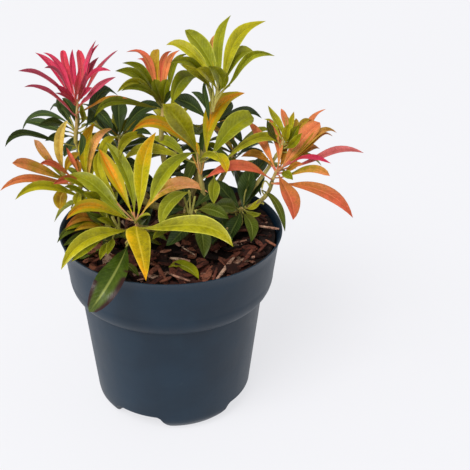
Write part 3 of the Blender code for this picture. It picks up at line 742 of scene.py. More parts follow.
# far left
shownLeaves["left"] = (
    ("blush", 11, 62, near, (70, 180), (51, 174), (31, 166), (12, 163), "blunt"),
    ("coralDeep", 6, 36, near, (72, 177), (61, 169), (50, 163), (39, 164.5)),
    ("coral", 7.5, 62, near, (72, 184), (50, 181), (24, 179), (0, 191)),
    ("lime", 9, 68, near, (83, 197), (62, 190), (38, 186), (15, 200)),
    ("peach", 8, 50, near, (61, 173), (51, 162), (42, 151), (34, 139.5), "blunt"),
    ("ochre", 13, 21, near, (66, 192), (61.5, 195), (60, 202), (60, 209.5), "oval"),
    ("tan", 9, 56, near, (64, 174), (60, 156), (60, 136), (68, 120)),
    ("coralDeep", 4.5, 30, far, (79, 173), (75, 166), (71, 158), (66, 147)),
    ("ochre", 7.5, 30, far, (65, 174), (67, 166), (72, 158), (81, 153)),
    ("rust", 6, 26, far, (80, 176), (79, 170), (77, 164), (74, 157)),
    ("coralDeep", 7, 36, near, (82, 184), (72, 179), (63, 180), (53, 184)),
    ("lime", 4, 42, near, (88, 190), (80, 185), (72, 181), (63, 178)),
    ("green", 5, 40, near, (92, 196), (83, 193), (73, 188), (64, 187)),
    ("lime", 8, 28, near, (82, 192), (78, 196), (77, 202), (78, 209)),
    ("olive", 12, 36, near, (104, 206), (97, 202), (91, 197), (83, 193)),
)
# above it
shownLeaves["left_up"] = (
    ("yellow", 11, 56, far, (87, 178), (84, 160), (86, 141), (95, 123)),
    ("peach", 8, 56, far, (89, 178), (90, 158), (97, 139), (115, 128)),
    ("lime", 7, 34, far, (91, 180), (92, 171), (93, 163), (94, 153)),
    ("orange", 8, 30, far, (88, 180), (86, 172), (84, 165), (82, 156)),
)
# the coral whorl on the right
shownLeaves["coral"] = (
    ("pink", 7, 76, near, (290, 167), (314, 160), (337, 151), (364, 153)),
    ("crimson", 4.5, 50, near, (289, 164), (303, 158), (316, 158), (331, 163.5)),
    ("coral", 16, 62, far, (280, 171), (291, 155), (304, 138), (320, 122.5), "blunt"),
    ("salmon", 6, 60, far, (289, 161), (305, 146), (320, 132), (337, 133)),
    ("rust", 4.5, 56, far, (290, 162), (306, 149), (320, 136), (333, 136.5)),
    ("rust", 6.5, 44, far, (288, 163), (300, 154), (310, 148), (320, 149)),
    ("blush", 7.5, 50, near, (283, 177), (298, 172), (314, 169), (330, 176), "blunt"),
    ("coralDeep", 12.5, 76, near, (283, 183), (307, 187), (332, 196), (353, 218)),
    ("coralDeep", 15.5, 54, near, (279, 175), (285, 188), (292, 203), (293, 220)),
    ("coral", 9, 60, far, (275, 168), (267, 151), (259, 136), (248, 121)),
    ("coralDeep", 10.5, 66, near, (271, 179), (253, 169), (232, 166), (206, 178)),
    ("rust", 8, 38, far, (272, 166), (263, 157), (253, 154), (241, 157)),
    ("coral", 9, 54, far, (278, 167), (279, 150), (276, 135), (271, 120)),
    ("rust", 5, 36, far, (280, 168), (283, 159), (285, 150), (288, 141)),
    ("green", 8, 18, near, (281, 173), (285, 174), (289, 176), (293, 180)),
    ("rust", 6, 26, near, (284, 172), (290, 169), (296, 165), (303, 164)),
)
# the young shoot behind it
shownLeaves["young"] = (
    ("coral", 5, 66, far, (294, 150), (304, 134), (313, 119), (326, 109)),
    ("lime", 6.5, 40, far, (286, 142), (281, 128), (275, 118), (268, 105.5)),
    ("coral", 6, 38, far, (288, 138), (286, 126), (284, 117), (281, 108.5)),
    ("coral", 8, 30, far, (280, 146), (276, 137), (273, 129), (270, 119)),
    ("yellow", 5, 32, far, (290, 138), (291, 128), (292, 120), (294, 111.5)),
    ("yellow", 5, 28, far, (289, 138), (289, 130), (288, 123), (286, 115)),
    ("ochre", 6, 32, far, (292, 138), (295, 131), (296, 125), (296, 118)),
    ("ochre", 6, 40, far, (292, 142), (298, 132), (303, 123), (312, 120)),
    ("deep", 7, 32, near, (278, 142), (272, 134), (269, 128), (267, 120)),
    ("lime", 3, 32, far, (280, 136), (275, 126), (270, 121), (264, 119)),
    ("olive", 9, 26, near, (288, 146), (291, 139), (295, 132), (299, 125)),
    ("lime", 8, 24, near, (286, 144), (286, 137), (287, 130), (289, 124)),
    ("green", 8, 30, near, (286, 148), (292, 145), (297, 140), (302, 133)),
)
# dark leaves on the right
shownLeaves["dark_right"] = (
    ("dark", 17, 42, far, (243, 210), (245, 196), (248, 183), (251, 164)),
    ("dark", 13, 42, far, (240, 209), (232, 200), (224, 191), (216, 180)),
    ("deep", 14, 36, near, (240, 211), (231, 207), (222, 206), (212, 209)),
    ("dark", 14, 34, near, (240, 212), (237, 221), (232, 231), (228, 243)),
    ("deep", 12, 34, near, (243, 213), (248, 219), (252, 228), (251, 242)),
    ("dark", 9, 38, far, (245, 207), (251, 196), (257, 187), (265, 177)),
    ("dark", 14, 50, far, (246, 190), (252, 178), (259, 167), (268, 158)),
    ("deep", 7, 48, near, (262, 190), (272, 198), (280, 211), (285, 232)),
    ("lime", 5, 16, near, (246, 208), (252, 208), (257, 204), (262, 198)),
    ("green", 4.5, 14, near, (244, 210), (249, 213), (255, 215), (261, 213)),
)
# low on the left
shownLeaves["low_left"] = (
    ("rust", 8, 52, near, (104, 226), (92, 219), (79, 218), (65, 229)),
    ("ochre", 6, 44, near, (106, 230), (95, 226), (85, 226), (74, 231)),
    ("olive", 7, 34, near, (112, 232), (104, 234), (96, 236), (86, 236)),
    ("green", 6, 26, near, (116, 228), (110, 223), (104, 220), (97, 219)),
    ("green", 7, 22, near, (112, 240), (107, 246), (103, 252), (100, 260)),
    ("olive", 7, 46, near, (104, 228), (91, 224), (78, 224), (64, 231)),
    ("deep", 8, 54, near, (102, 231), (87, 228), (71, 229), (57, 243)),
    ("deep", 7, 46, near, (100, 234), (88, 234), (76, 238), (63, 246)),
    ("green", 7, 40, near, (104, 238), (94, 244), (83, 252), (71, 262)),
    ("deep", 8, 32, near, (108, 224), (102, 220), (94, 217), (86, 212)),
    ("green", 7, 24, near, (113, 238), (112, 243), (110, 248), (107, 255)),
    ("olive", 7, 30, far, (110, 226), (106, 217), (101, 210), (95, 203)),
)
# the leaf that hangs over the rim
shownLeaves["hanging"] = (
    ("spotted", 26, 78, near, (127, 246), (119, 265), (106, 288), (89, 312), "spade"),
)

# bare stalks that show: the whorl whose depth they take, tint, width in pixels, pixels along them
shownStems = (("tall", "stalk", 2.0, ((205, 81), (210, 94), (212, 110))),
              ("tall", "stalk", 2.0, ((212, 84), (213, 96), (212, 112))),
              ("tall", "stalk", 2.2, ((218, 87), (216, 98), (213, 112))),
              ("tall", "stalk", 2.6, ((230, 85), (222, 92), (214, 106))),
              ("centre", "stalkBrown", 1.7, ((192, 155), (196, 164), (200, 174))),
              ("centre", "stalkBrown", 1.6, ((204, 156), (203, 165), (201, 175))),
              ("centre", "stalkPink", 1.6, ((197, 154), (198, 164), (200, 174))),
              ("low_centre", "stalk", 2.6, ((184, 197), (187, 207), (190, 217))),
              ("low_centre", "stalk", 2.6, ((195, 196), (193, 206), (191, 217))),
              ("low_centre", "stalk", 2.2, ((189, 190), (190, 203), (190, 216))),
              ("low_left", "stalk", 3.0, ((119, 229), (115, 222), (112, 216))),
              ("low_left", "stalk", 3.0, ((120, 231), (112, 229), (105, 225))),
              ("low_left", "stalk", 2.4, ((119, 228), (119, 222), (118, 217))),
              ("dark_right", "stalk", 2.0, ((248, 207), (257, 203), (264, 204))),
              ("dark_right", "stalk", 1.6, ((244, 210), (252, 213), (259, 214))),
              ("coral", "stalk", 1.6, ((270, 187), (265, 181), (262, 189))),
              ("coral", "stalkRed", 1.6, ((271, 183), (277, 184), (284, 184))),
              ("hanging", "stalk", 2.2, ((126, 248), (130, 239), (133, 230))))

# Leaves that lie on the bark: tint, width in pixels, and pixels of foot, third, two thirds and tip
lyingLeaves = (("olive", 15, ((169, 267), (178, 265), (188, 268), (199, 279))),
               ("deep", 8, ((124, 262), (129, 266), (133, 270), (139, 276))),
               ("olive", 6, ((148, 232), (150, 238), (155, 243), (162, 244))))

# Outline of the crown in the photograph: no leaf that only fills the crown rises above the upper line or
# falls below the lower one, and none fills the gaps that show the background, each a pixel and its radius.
# Behind crownBack, in mm, the lower line doesn't hold, because the front of the crown hides what is there
crownTop = ((-20, 190), (0, 170), (20, 150), (40, 135), (58, 112), (75, 108), (100, 112), (112, 108),
            (125, 104), (140, 98), (152, 84), (170, 84), (183, 96), (200, 80), (218, 70), (232, 84),
            (240, 112), (262, 118), (268, 118), (300, 118), (312, 146), (330, 168), (345, 190), (370, 210))
crownFoot = ((-20, 190), (20, 196), (50, 204), (58, 240), (80, 262), (120, 272), (160, 258), (235, 252),
             (262, 240), (280, 228), (292, 190), (330, 186), (370, 200))
skyGaps = ((105, 114, 4), (133, 112, 5), (108, 131, 3), (112, 140, 2), (147, 134, 4), (131, 150, 3),
           (134, 163, 3), (155, 168, 7), (96, 174, 3), (196, 86, 5), (203, 93, 3), (191, 115, 4),
           (197, 122, 4), (197, 139, 4), (184, 70, 4), (237, 72, 5), (247, 131, 6), (263, 124, 4),
           (228, 178, 6), (261, 188, 4), (268, 198, 5), (274, 188, 5), (212, 88, 5), (47, 152, 7),
           (24, 150, 9), (30, 177, 3), (308, 165, 4))
boxSpare = {"low": Vector((-136, -108, 150)) * mm, "high": Vector((157, 134, 334)) * mm}
crownBack = 40


def lineAt(line, x):
    for (x0, y0), (x1, y1) in zip(line, line[1:]):
        if x0 <= x <= x1:
            return blend(y0, y1, (x - x0) / (x1 - x0))
    return line[0][1] if x < line[0][0] else line[-1][1]


def fits(spots):
    for spot in spots:
        if any(not boxSpare["low"][axis] <= spot[axis] <= boxSpare["high"][axis] for axis in range(3)):
            return False
        x, y = toPixel(spot)
        if y < lineAt(crownTop, x):
            return False
        if y > lineAt(crownFoot, x) and spot.y < crownBack * mm:
            return False
        if any((x - gapX) ** 2 + (y - gapY) ** 2 < size ** 2 for gapX, gapY, size in skyGaps):
            return False
    return True


# Placing the leaves
# How a leaf's stalk finds the shoot, in mm: it looks from a point below the foot, past far it goes to the
# nearest wood, and a gap under least or over most gets no stalk. Drop and pull are shares of that gap, and
# the rows are how much of the shoot and of its limb a stalk may join
joining = {"far": 16, "least": 1.2, "most": 20, "below": 2, "drop": 0.3, "pull": 0.5, "shootRows": 12,
           "limbRows": 9}
# A shown leaf's low and high points lie at these shares of the way in depth, and its width is this much
# more than it looks, for the ripple
placing = {"lowDepth": 0.36, "highDepth": 0.7, "widen": 1.03, "seed": 100}
# Leaves that only fill the crown: their rise above level in degrees at the top and the foot of a whorl and
# its chance part, their reach and how far below the top they start in mm, and shares of the reach for width
# and arch. One that comes within apart degrees of a shown leaf is left out, and one that would stand in front
# of a shown leaf or less than gap mm behind it is tried at the smaller sizes
filling = {"oldRise": (28, -34), "oldVary": 9, "oldReach": (38, 56), "oldDrop": (6, 26),
           "youngRise": (74, 24), "youngPower": 0.8, "youngVary": 8, "youngSize": (0.88, 1.1),
           "youngDrop": (0, 7), "width": (0.19, 0.25), "arch": (0.05, 0.13), "roll": 0.3, "apart": 15,
           "sizes": (1.0, 0.8, 0.64), "half": 0.45, "gap": 5, "seed": 500}
# how far the leaves keep clear of the pot's rim, how deep that rim is for them, and how far they are moved at
# most, in mm
rimClear = {"clear": 1.5, "deep": 6, "steps": 60}
stalkTints = {"leaves_red": "stalkRed", "leaves_coral": "stalkRed"}
leafPieces = {}
woodSpots = []  # points along every limb and shoot
seenSpots = []  # pixel, depth and half width of what the shown leaves cover


def depthOf(spot):
    return (spot - eye).dot(eyeAhead)


def offPot(spot, fromEye=True):
    # brings a point out in front of the pot's wall or over its rim, on the line of sight or straight up
    clear = rimClear["clear"] * mm
    ray = (eye - spot).normalized() if fromEye else up
    for step in range(rimClear["steps"]):
        reach = math.hypot(spot.x, spot.y)
        low = spot.z < pot["height"] * mm + clear
        if not (low and (pot["rim"] - rimClear["deep"]) * mm < reach < pot["rim"] * mm + clear):
            break
        spot = spot + ray * mm
    while spot.y < boxSpare["low"].y and fromEye:
        spot = spot - ray * mm
    return spot


def pathSpots(foot, low, high, tip):
    # points along a leaf's middle line, beyond its stalk
    curve = curveThrough(foot, low, high, tip)
    return [curvePoint(curve, step / 10) for step in range(2, 11)]


def addStalk(pile, axis, foot, ahead, tint):
    # joins a leaf's foot to the shoot, a little further down it, or to the nearest wood where that is far off
    aim = foot - up * joining["below"] * mm
    nearest = min(axis, key=lambda spot: (spot - aim).length)
    if (foot - nearest).length > joining["far"] * mm:
        nearest = min(woodSpots, key=lambda spot: (spot - aim).length)
    apart = (foot - nearest).length
    if apart < joining["least"] * mm or apart > joining["most"] * mm:
        return
    lower = nearest - up * apart * joining["drop"]
    joint = min([spot for spot in axis if (spot - lower).length < apart] + [nearest],
                key=lambda spot: (spot - lower).length)
    path = arcPath(joint, foot - ahead * apart * joining["pull"], foot + ahead * mm, 4)
    pile.stalk(path, leafShape["petioleHalf"] * mm, tint)


def placeStem(pile, middle, tint, wide, pixels):
    depth = depthOf(middle)
    start, bend, end = [spotAtDepth(pixel, depth) for pixel in pixels]
    pile.stalk(arcPath(start, bend * 2 - (start + end) / 2, end, 6), wide / 2 / camera["focal"] * depth, tint)


def placeShown(pile, middle, row, axis, stalkTint):
    leaf = dict(zip(leafKeys, row))
    form, reach = leaf.get("form", "lance"), leaf["reach"] * mm
    depth = depthOf(middle)
    foot = spotAtDepth(leaf["foot"], depth)
    tip = spotAtReach(foot, leaf["tip"], reach, leaf["away"])
    tipDepth = depthOf(tip)
    low = spotAtDepth(leaf["low"], blend(depth, tipDepth, placing["lowDepth"]))
    high = spotAtDepth(leaf["high"], blend(depth, tipDepth, placing["highDepth"]))
    low, high, tip = offPot(low), offPot(high), offPot(tip)
    chord = (tip - foot).normalized()
    fold = math.radians(leafForms[form][2])
    seenWidth = leaf["seen"] / camera["focal"] * (depth + tipDepth) / 2 / math.cos(fold)
    width = max(seenWidth * placing["widen"], reach * leafShape["least"])
    lean = math.acos(min(1.0, seenWidth / width))
    toEye = eye - high
    toEye = (toEye - chord * toEye.dot(chord)).normalized()
    across = chord.cross(toEye)
    if across.z < 0:
        across = -across
    normal = toEye * math.cos(lean) + across * math.sin(lean)
    pile.add(foot, low, high, tip, width, leaf["tint"], normal, True, form)
    addStalk(pile, axis, foot, (low - foot).normalized(), stalkTint)
    for spot in pathSpots(foot, low, high, tip):
        seenSpots.append((*toPixel(spot), depthOf(spot), leaf["seen"] / 2))
    return chord


def hidesShown(spots, half):
    # true where a leaf that only fills the crown would cross or cover one that the photograph shows
    shownX, shownY, shownDepth, shownHalf = np.array(seenSpots).T
    for spot in spots:
        x, y = toPixel(spot)
        apart = np.hypot(shownX - x, shownY - y)
        if np.any((apart < shownHalf + half) & (depthOf(spot) < shownDepth + filling["gap"] * mm)):
            return True
    return False


def fillWhorl(pile, middle, whorl, taken, chance, axis):
    # leaves set at the golden angle round the shoot: young ones stand up, old ones below them spread and hang
    phase = chance.random() * roughTurn
    for order in range(whorl["youngCount"] + whorl["oldCount"]):
        azimuth = phase + order * goldenAngle
        if order >= whorl["youngCount"]:
            share = (order - whorl["youngCount"] + 1) / whorl["oldCount"]
            rise = blend(*filling["oldRise"], share) + chance.uniform(-filling["oldVary"], filling["oldVary"])
            reach = chance.uniform(*filling["oldReach"])
            drop = blend(*filling["oldDrop"], share)
            tints = whorl["old"]
        else:
            share = (order + 1) / whorl["youngCount"]
            rise = blend(*filling["youngRise"], share ** filling["youngPower"])
            rise += chance.uniform(-filling["youngVary"], filling["youngVary"])
            reach = blend(*whorl["youngLength"], share) * chance.uniform(*filling["youngSize"])
            drop = blend(*filling["youngDrop"], share)
            tints = whorl["young"]
        foot = middle - up * drop * mm
        width = reach * chance.uniform(*filling["width"])
        rise = math.radians(rise)
        level = math.cos(rise)
        ahead = Vector((math.cos(azimuth) * level, math.sin(azimuth) * level, math.sin(rise)))
        roll = chance.uniform(-filling["roll"], filling["roll"])
        if any(ahead.dot(other) > math.cos(math.radians(filling["apart"])) for other in taken):
            continue
        for size in filling["sizes"]:
            arch = blend(*filling["arch"], share)
            low = offPot(foot + (ahead * 0.34 + up * arch * 0.9) * reach * size * mm, False)
            high = offPot(foot + (ahead * 0.68 + up * arch * 0.8) * reach * size * mm, False)
            tip = offPot(foot + (ahead - up * arch * 1.1) * reach * size * mm, False)
            spots = pathSpots(foot, low, high, tip)
            if fits(spots[2:]) and not hidesShown(spots[1:], width * size * filling["half"]):
                chord = (tip - foot).normalized()
                normal = Matrix.Rotation(roll, 3, chord) @ (up - chord * up.dot(chord))
                pile.add(foot, low, high, tip, width * size * mm, tints[order % len(tints)], normal)
                addStalk(pile, axis, foot, ahead, stalkTints.get(whorl["slot"], "stalk"))
                break


def findWood():
    # the end of the limb and the shoot of each whorl, and every point that a stalk may go to
    axes = {}
    for name, whorl in whorls.items():
        branch = limbPaths[whorl["limb"]]
        shoot = limbPath(branch[-1], Vector(whorl["top"]) * mm, Vector((0, 0, 0)), joining["shootRows"])
        axes[name] = branch[-joining["limbRows"]:] + shoot
        woodSpots.extend(shoot)
    for path in limbPaths.values():
        woodSpots.extend(path)
    return axes


def makeLeaves():
    taken, axes = {}, findWood()
    for number, (name, whorl) in enumerate(whorls.items()):
        node = whorl.get("node", name)
        if node not in leafPieces:
            leafPieces[node] = LeafPile(placing["seed"] + number)
        pile = leafPieces[node]
        middle = Vector(whorl["top"]) * mm
        stalkTint = "stalkPink" if name == "front" else stalkTints.get(whorl["slot"], "stalk")
        rows = shownLeaves.get(name, ())
        taken[name] = [placeShown(pile, middle, row, axes[name], stalkTint) for row in rows]
    pile = leafPieces["front"]
    for tint, seen, pixels in lyingLeaves:
        spots = [spotOnBed(pixel, mulch["leafLevel"]) for pixel in pixels]
        pile.add(*spots, seen / camera["focal"] * depthOf(spots[0]), tint, up, False, "oval")
    for name, tint, wide, pixels in shownStems:
        placeStem(leafPieces[name], Vector(whorls[name]["top"]) * mm, tint, wide, pixels)
    for number, (name, whorl) in enumerate(whorls.items()):
        pile = leafPieces[whorl.get("node", name)]
        chance = random.Random(filling["seed"] + number)
        fillWhorl(pile, Vector(whorl["top"]) * mm, whorl, taken[name], chance, axes[name])
    total = 0
    for name, pile in leafPieces.items():
        piece = pile.make("leaves_" + name)
        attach(piece, "root")
        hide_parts("foliage_" + name)
        total += pile.count
    print("leaves and stalks", total)


# Trunk, boughs and shoots
# Each limb's parent, the share along it where it starts, its end, thickness at start and end, and bow, in mm
limbs = {
    "bough_left": ("trunk", 1.0, (-46, 14, 203), 3.4, 2.7, (0, 0, -7)),
    "bough_tall": ("trunk", 1.0, (30, 36, 233), 3.4, 2.4, (4, 6, -6)),
    "bough_middle": ("trunk", 1.0, (-6, 20, 258), 3.0, 1.9, (-6, 2, 0)),
    "bough_right": ("trunk", 0.9, (64, 6, 181), 2.8, 2.1, (2, 0, -3)),
    "bough_front": ("trunk", 0.9, (-26, -40, 189), 3.0, 2.2, (0, -4, -5)),
    "bough_back": ("trunk", 0.9, (6, 70, 207), 3.0, 2.1, (0, 6, -5)),
    "bough_centre": ("bough_right", 0.3, (24, -7, 221), 2.4, 1.9, (2, -5, -4)),
    "bough_back_right": ("trunk", 0.75, (52, 58, 198), 2.7, 2.0, (4, 4, -5)),
    "bough_low_left": ("trunk", 0.6, (-47, -22, 177), 2.5, 1.9, (0, -4, -3)),
    "bough_low_right": ("trunk", 0.5, (45, -15, 171), 2.4, 1.8, (2, -3, -3)),
    "bough_low_centre": ("trunk", 0.75, (12, -18, 184), 2.2, 1.8, (0, -4, -2)),
    "bough_dark_left": ("bough_left", 0.6, (-43, 38, 221), 2.2, 1.8, (0, 3, -3)),
    "bough_back_left": ("bough_left", 0.45, (-42, 66, 203), 2.3, 1.8, (0, 5, -4)),
    "bough_red": ("bough_left", 0.97, (-79, 27, 234), 2.2, 1.5, (-4, 2, -4)),
    "bough_far_left": ("bough_left", 0.93, (-76, -9, 206), 2.3, 1.8, (-2, -3, -4)),
    "bough_coral": ("bough_right", 0.97, (86, 5, 208), 2.1, 1.5, (5, 0, -4)),
    "bough_young": ("bough_right", 0.75, (95, 27, 227), 1.9, 1.5, (2, 4, -4)),
}
trunk = {"foot": (12, 12, 148.4), "fork": (9, 13, 176), "flare": 9.2, "flarePower": 3.2, "radius": 5.8,
         "relief": 1.8, "rows": 22, "sides": 20}
# sizes of the bark's lumps, the rings of the leaf scars and the limbs' ends, lengths in mm
bark = {"relief": 0.28, "lump": 4.0, "fineLump": 1.6, "fineShare": 0.5, "ridge": 0.35, "scarPitch": 1.15,
        "scarPower": 6, "rowLength": 1.8, "leastRows": 8, "sides": 12, "end": 0.6}
shoots = {"thick": 1.7, "thin": 1.15, "relief": 0.14, "rowLength": 2.2, "leastRows": 5, "sides": 9,
          "end": 0.5, "least": 2, "bow": (0, 0, -1.5)}
# the wood's colour when old and when young, and the colour of its cracks
woodLooks = {"bark": ((96, 70, 48), (172, 158, 84), (60, 44, 28)),
             "shoot": ((176, 160, 78), (206, 176, 112), (126, 108, 46))}
# spots in a metre of its grain and patches, the patches' colour, and its relief
woodFinish = {"grain": 420.0, "patch": 120.0, "patchColour": (168, 140, 112), "crackShare": 0.5,
              "patchShare": 0.3, "roughness": 0.78, "specular": 0.2, "bump": 0.7, "bumpDepth": 0.0008}
limbPaths = {}


def woodMaterial(name):
    maker = Maker(name)
    old, young, crack = [rgb(*c) for c in woodLooks[name]]
    along, _ = maker.layer("limbPlace")
    grain = maker.noise(woodFinish["grain"], 5.0, (1, 1, 0.3))
    patch = maker.noise(woodFinish["patch"], 3.0)
    share = (along + (patch - 0.5) * 0.4).between(0.05, 0.5)
    colour = maker.mix(share, old, young)
    colour = maker.mix(grain.between(0.55, 0.38) * woodFinish["crackShare"], colour, crack)
    pale = patch.between(0.55, 0.75) * woodFinish["patchShare"]
    colour = maker.mix(pale, colour, rgb(*woodFinish["patchColour"]))
    normal = maker.bump(grain + patch * 0.6, woodFinish["bump"], woodFinish["bumpDepth"])
    roughness = woodFinish["roughness"] - share * 0.25 + (grain - 0.5) * 0.2
    return maker.finish(colour, roughness, normal, {"Specular IOR Level": woodFinish["specular"]})


def tubeAround(path, radii, sides, wobble, placeEnds):
    # rings round a path with a relief of lumps, and how far along the limb each point lies
    points, places = [], []
    for index, rays in enumerate(ringRays(path, Vector((1, 0.3, 0)), sides)):
        for side, out in enumerate(rays):
            skin = path[index] + out * radii[index]
            rough = noise.noise(skin / (bark["lump"] * mm)) * wobble * mm
            rough += noise.noise(skin / (bark["fineLump"] * mm)) * wobble * bark["fineShare"] * mm
            points.append(path[index] + out * (radii[index] + rough))
            places.append((blend(*placeEnds, index / (len(path) - 1)), side / sides))
    return points, places


def setLimbPlaces(piece, places):
    layer = piece.data.uv_layers.new(name="limbPlace")
    for loop in piece.data.loops:
        layer.data[loop.index].uv = places[loop.vertex_index]


def pointOn(path, share):
    place = share * (len(path) - 1)
    index = min(int(place), len(path) - 2)
    return path[index].lerp(path[index + 1], place - index)


def limbPath(start, end, bow, rows):
    shares = [row / rows for row in range(rows + 1)]
    return [start.lerp(end, share) + bow * (4 * share * (1 - share)) for share in shares]


def makeTrunk(look):
    foot, fork = Vector(trunk["foot"]) * mm, Vector(trunk["fork"]) * mm
    shares = [row / trunk["rows"] for row in range(trunk["rows"] + 1)]
    path = [foot.lerp(fork, share) for share in shares]
    radii = [blend(trunk["radius"], trunk["flare"], (1 - share) ** trunk["flarePower"]) * mm
             for share in shares]
    points, places = tubeAround(path, radii, trunk["sides"], bark["relief"] * trunk["relief"], (0.0, 0.1))
    for index in range(trunk["sides"]):
        points[index].z = trunk["foot"][2] * mm
    piece = newPiece("trunk_bark", points, stitchRings(len(path), trunk["sides"]), [look])
    setLimbPlaces(piece, places)
    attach(piece, "root")
    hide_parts("trunk")
    limbPaths["trunk"] = path


def makeBoughs(look):
    for name, (parent, share, end, thick, thin, bow) in limbs.items():
        start = pointOn(limbPaths[parent], share)
        end = Vector(end) * mm
        rows = max(bark["leastRows"], int((end - start).length / (bark["rowLength"] * mm)))
        path = limbPath(start, end, Vector(bow) * mm, rows)
        limbPaths[name] = path
        radii = []
        for row in range(rows + 1):
            scar = max(0.0, math.sin(row * bark["scarPitch"])) ** bark["scarPower"] * bark["ridge"]
            radii.append(blend(thick, thin, row / rows) * mm + scar * mm)
        radii[-1] *= bark["end"]
        points, places = tubeAround(path, radii, bark["sides"], bark["relief"], (0.1, 0.9))
        piece = newPiece(name + "_bark", points, stitchRings(len(path), bark["sides"]), [look])
        setLimbPlaces(piece, places)
        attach(piece, "root")
        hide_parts(name)


def makeShoots(look):
    # the thin ends that carry the whorls, in one piece
    points, faces, places = [], [], []
    for whorl in whorls.values():
        start = limbPaths[whorl["limb"]][-1]
        end = Vector(whorl["top"]) * mm
        if (end - start).length < shoots["least"] * mm:
            continue
        rows = max(shoots["leastRows"], int((end - start).length / (shoots["rowLength"] * mm)))
        path = limbPath(start, end, Vector(shoots["bow"]) * mm, rows)
        radii = [blend(shoots["thick"], shoots["thin"], row / rows) * mm for row in range(rows + 1)]
        radii[-1] *= shoots["end"]
        ring, place = tubeAround(path, radii, shoots["sides"], shoots["relief"], (0.0, 1.0))
        faces += shifted(stitchRings(len(path), shoots["sides"]), len(points))
        points += ring
        places += place
    piece = newPiece("shoots", points, faces, [look])
    setLimbPlaces(piece, places)
    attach(piece, "root")


def makeWood():
    barkLook = woodMaterial("bark")
    makeTrunk(barkLook)
    makeBoughs(barkLook)
    makeShoots(woodMaterial("shoot"))
    print("trunk, boughs and shoots made")


# Pot
# Radii and heights in mm, angles in degrees
pot = {"height": 167, "rim": 95, "flare": 92.2, "flareZ": 158, "bandLow": 88.6, "bandZ": 128, "stepZ": 111.5,
       "step": 79.6, "footWall": 69, "footWallZ": 10.5, "foot": 61, "wall": 1.6, "floor": 2,
       "notchHeight": 15, "notches": 4, "notchAzimuth": -28.8, "notchHalf": 26, "notchRamp": 10,
       "notchInner": 42, "notchInnerRamp": 5, "holeRadius": 5, "holeDistance": 54.5, "holeSides": 32,
       "holeCut": 8, "sides": 160, "smooth": 40.0}
# where the rows of points lie: as shares of the foot above its notch, of the step and of the step inside, as
# heights on the wall, the band and the inner wall, and for the lip how far in from the rim and down
potRows = {"footTop": 22.5, "foot": (0.0, 0.03, 0.07, 0.12, 0.2, 0.3, 0.42, 0.56, 0.75, 1.0),
           "wall": (30, 50, 70, 90, 104, 109, 110.9),
           "step": (0.0, 0.03, 0.08, 0.16, 0.28, 0.44, 0.62, 0.8, 0.92, 1.0),
           "band": (129, 135, 143, 151, 156, 158, 160, 162, 164, 165.5, 166.3, 166.8),
           "lip": ((0.35, 0.02), (0.8, 0), (1.25, 0.02), (1.58, 0.3)),
           "innerBand": (165, 160, 158, 150, 140, 131), "innerStep": (1.0, 0.5, 0.2, 0.05, 0.0),
           "innerWall": (90, 60), "aboveFloor": (12, 6, 3), "floorCorner": 1.5, "notchCrease": (2, 0.6)}
# its colours, the spots in a metre of each pattern and how strong each is, and the heights in metres under
# which it is scuffed and between which dust sets in
potFinish = {"dark": (14, 35, 51), "light": (20, 42, 59), "streak": (30, 51, 66), "scuff": (80, 92, 102),
             "patchSize": 26.0, "fineSize": 1900.0, "streakSize": 60.0, "scuffSize": 34.0,
             "scratchSize": 300.0, "streakShare": 0.25, "scuffShare": 0.4, "dustShare": 0.25,
             "scuffTop": 0.12, "dust": (0.162, 0.167), "roughness": 0.44, "specular": 0.3, "bump": 0.35,
             "bumpDepth": 0.0003}


def potRadius(z):
    if z < pot["footWallZ"]:
        share = z / pot["footWallZ"]
        return blend(pot["foot"], pot["footWall"], 1 - (1 - share) ** 1.3)
    if z < pot["stepZ"]:
        return blend(pot["footWall"], pot["step"], (z - pot["footWallZ"]) / (pot["stepZ"] - pot["footWallZ"]))
    if z < pot["bandZ"]:
        share = (z - pot["stepZ"]) / (pot["bandZ"] - pot["stepZ"])
        return blend(pot["step"], pot["bandLow"], math.sqrt(max(0.0, 1 - (1 - share) ** 2)))
    if z < pot["flareZ"]:
        return blend(pot["bandLow"], pot["flare"], (z - pot["bandZ"]) / (pot["flareZ"] - pot["bandZ"]))
    return blend(pot["flare"], pot["rim"], ((z - pot["flareZ"]) / (pot["height"] - pot["flareZ"])) ** 1.2)


def potInner(z):
    return potRadius(max(z - pot["wall"], 0.0)) - pot["wall"]


def notchRise(azimuth):
    pitch = 360 / pot["notches"]
    off = (azimuth - pot["notchAzimuth"] + pitch / 2) % pitch - pitch / 2
    return pot["notchHeight"] * smoothStep(0, 1, (pot["notchHalf"] - abs(off)) / pot["notchRamp"])


def potProfile(rise):
    # from the underside's middle out to the foot, up the wall, over the lip and down inside to the floor
    inner, ramp = pot["notchInner"], pot["notchInnerRamp"]
    crease, creaseRise = potRows["notchCrease"]
    rows = [(inner - ramp, 0.0), (inner, 0.0), (inner + crease, rise * creaseRise), (inner + ramp, rise)]
    heights = [blend(rise, potRows["footTop"], share) for share in potRows["foot"]]
    heights += potRows["wall"]
    heights += [blend(pot["stepZ"], pot["bandZ"], share) for share in potRows["step"]]
    heights += potRows["band"]
    rows += [(potRadius(z), z) for z in heights]
    rows += [(pot["rim"] - inset, pot["height"] - drop) for inset, drop in potRows["lip"]]
    floor = pot["floor"] + rise
    heights = list(potRows["innerBand"])
    heights += [blend(pot["stepZ"], pot["bandZ"], share) + pot["wall"] for share in potRows["innerStep"]]
    heights += potRows["innerWall"]
    heights += [floor + above for above in potRows["aboveFloor"]]
    rows += [(potInner(z), z) for z in heights]
    rows.append((potInner(floor) - potRows["floorCorner"], floor))
    rows.append((inner + ramp - pot["wall"], floor))
    rows.append((inner - 2 * pot["wall"], pot["floor"]))
    return rows


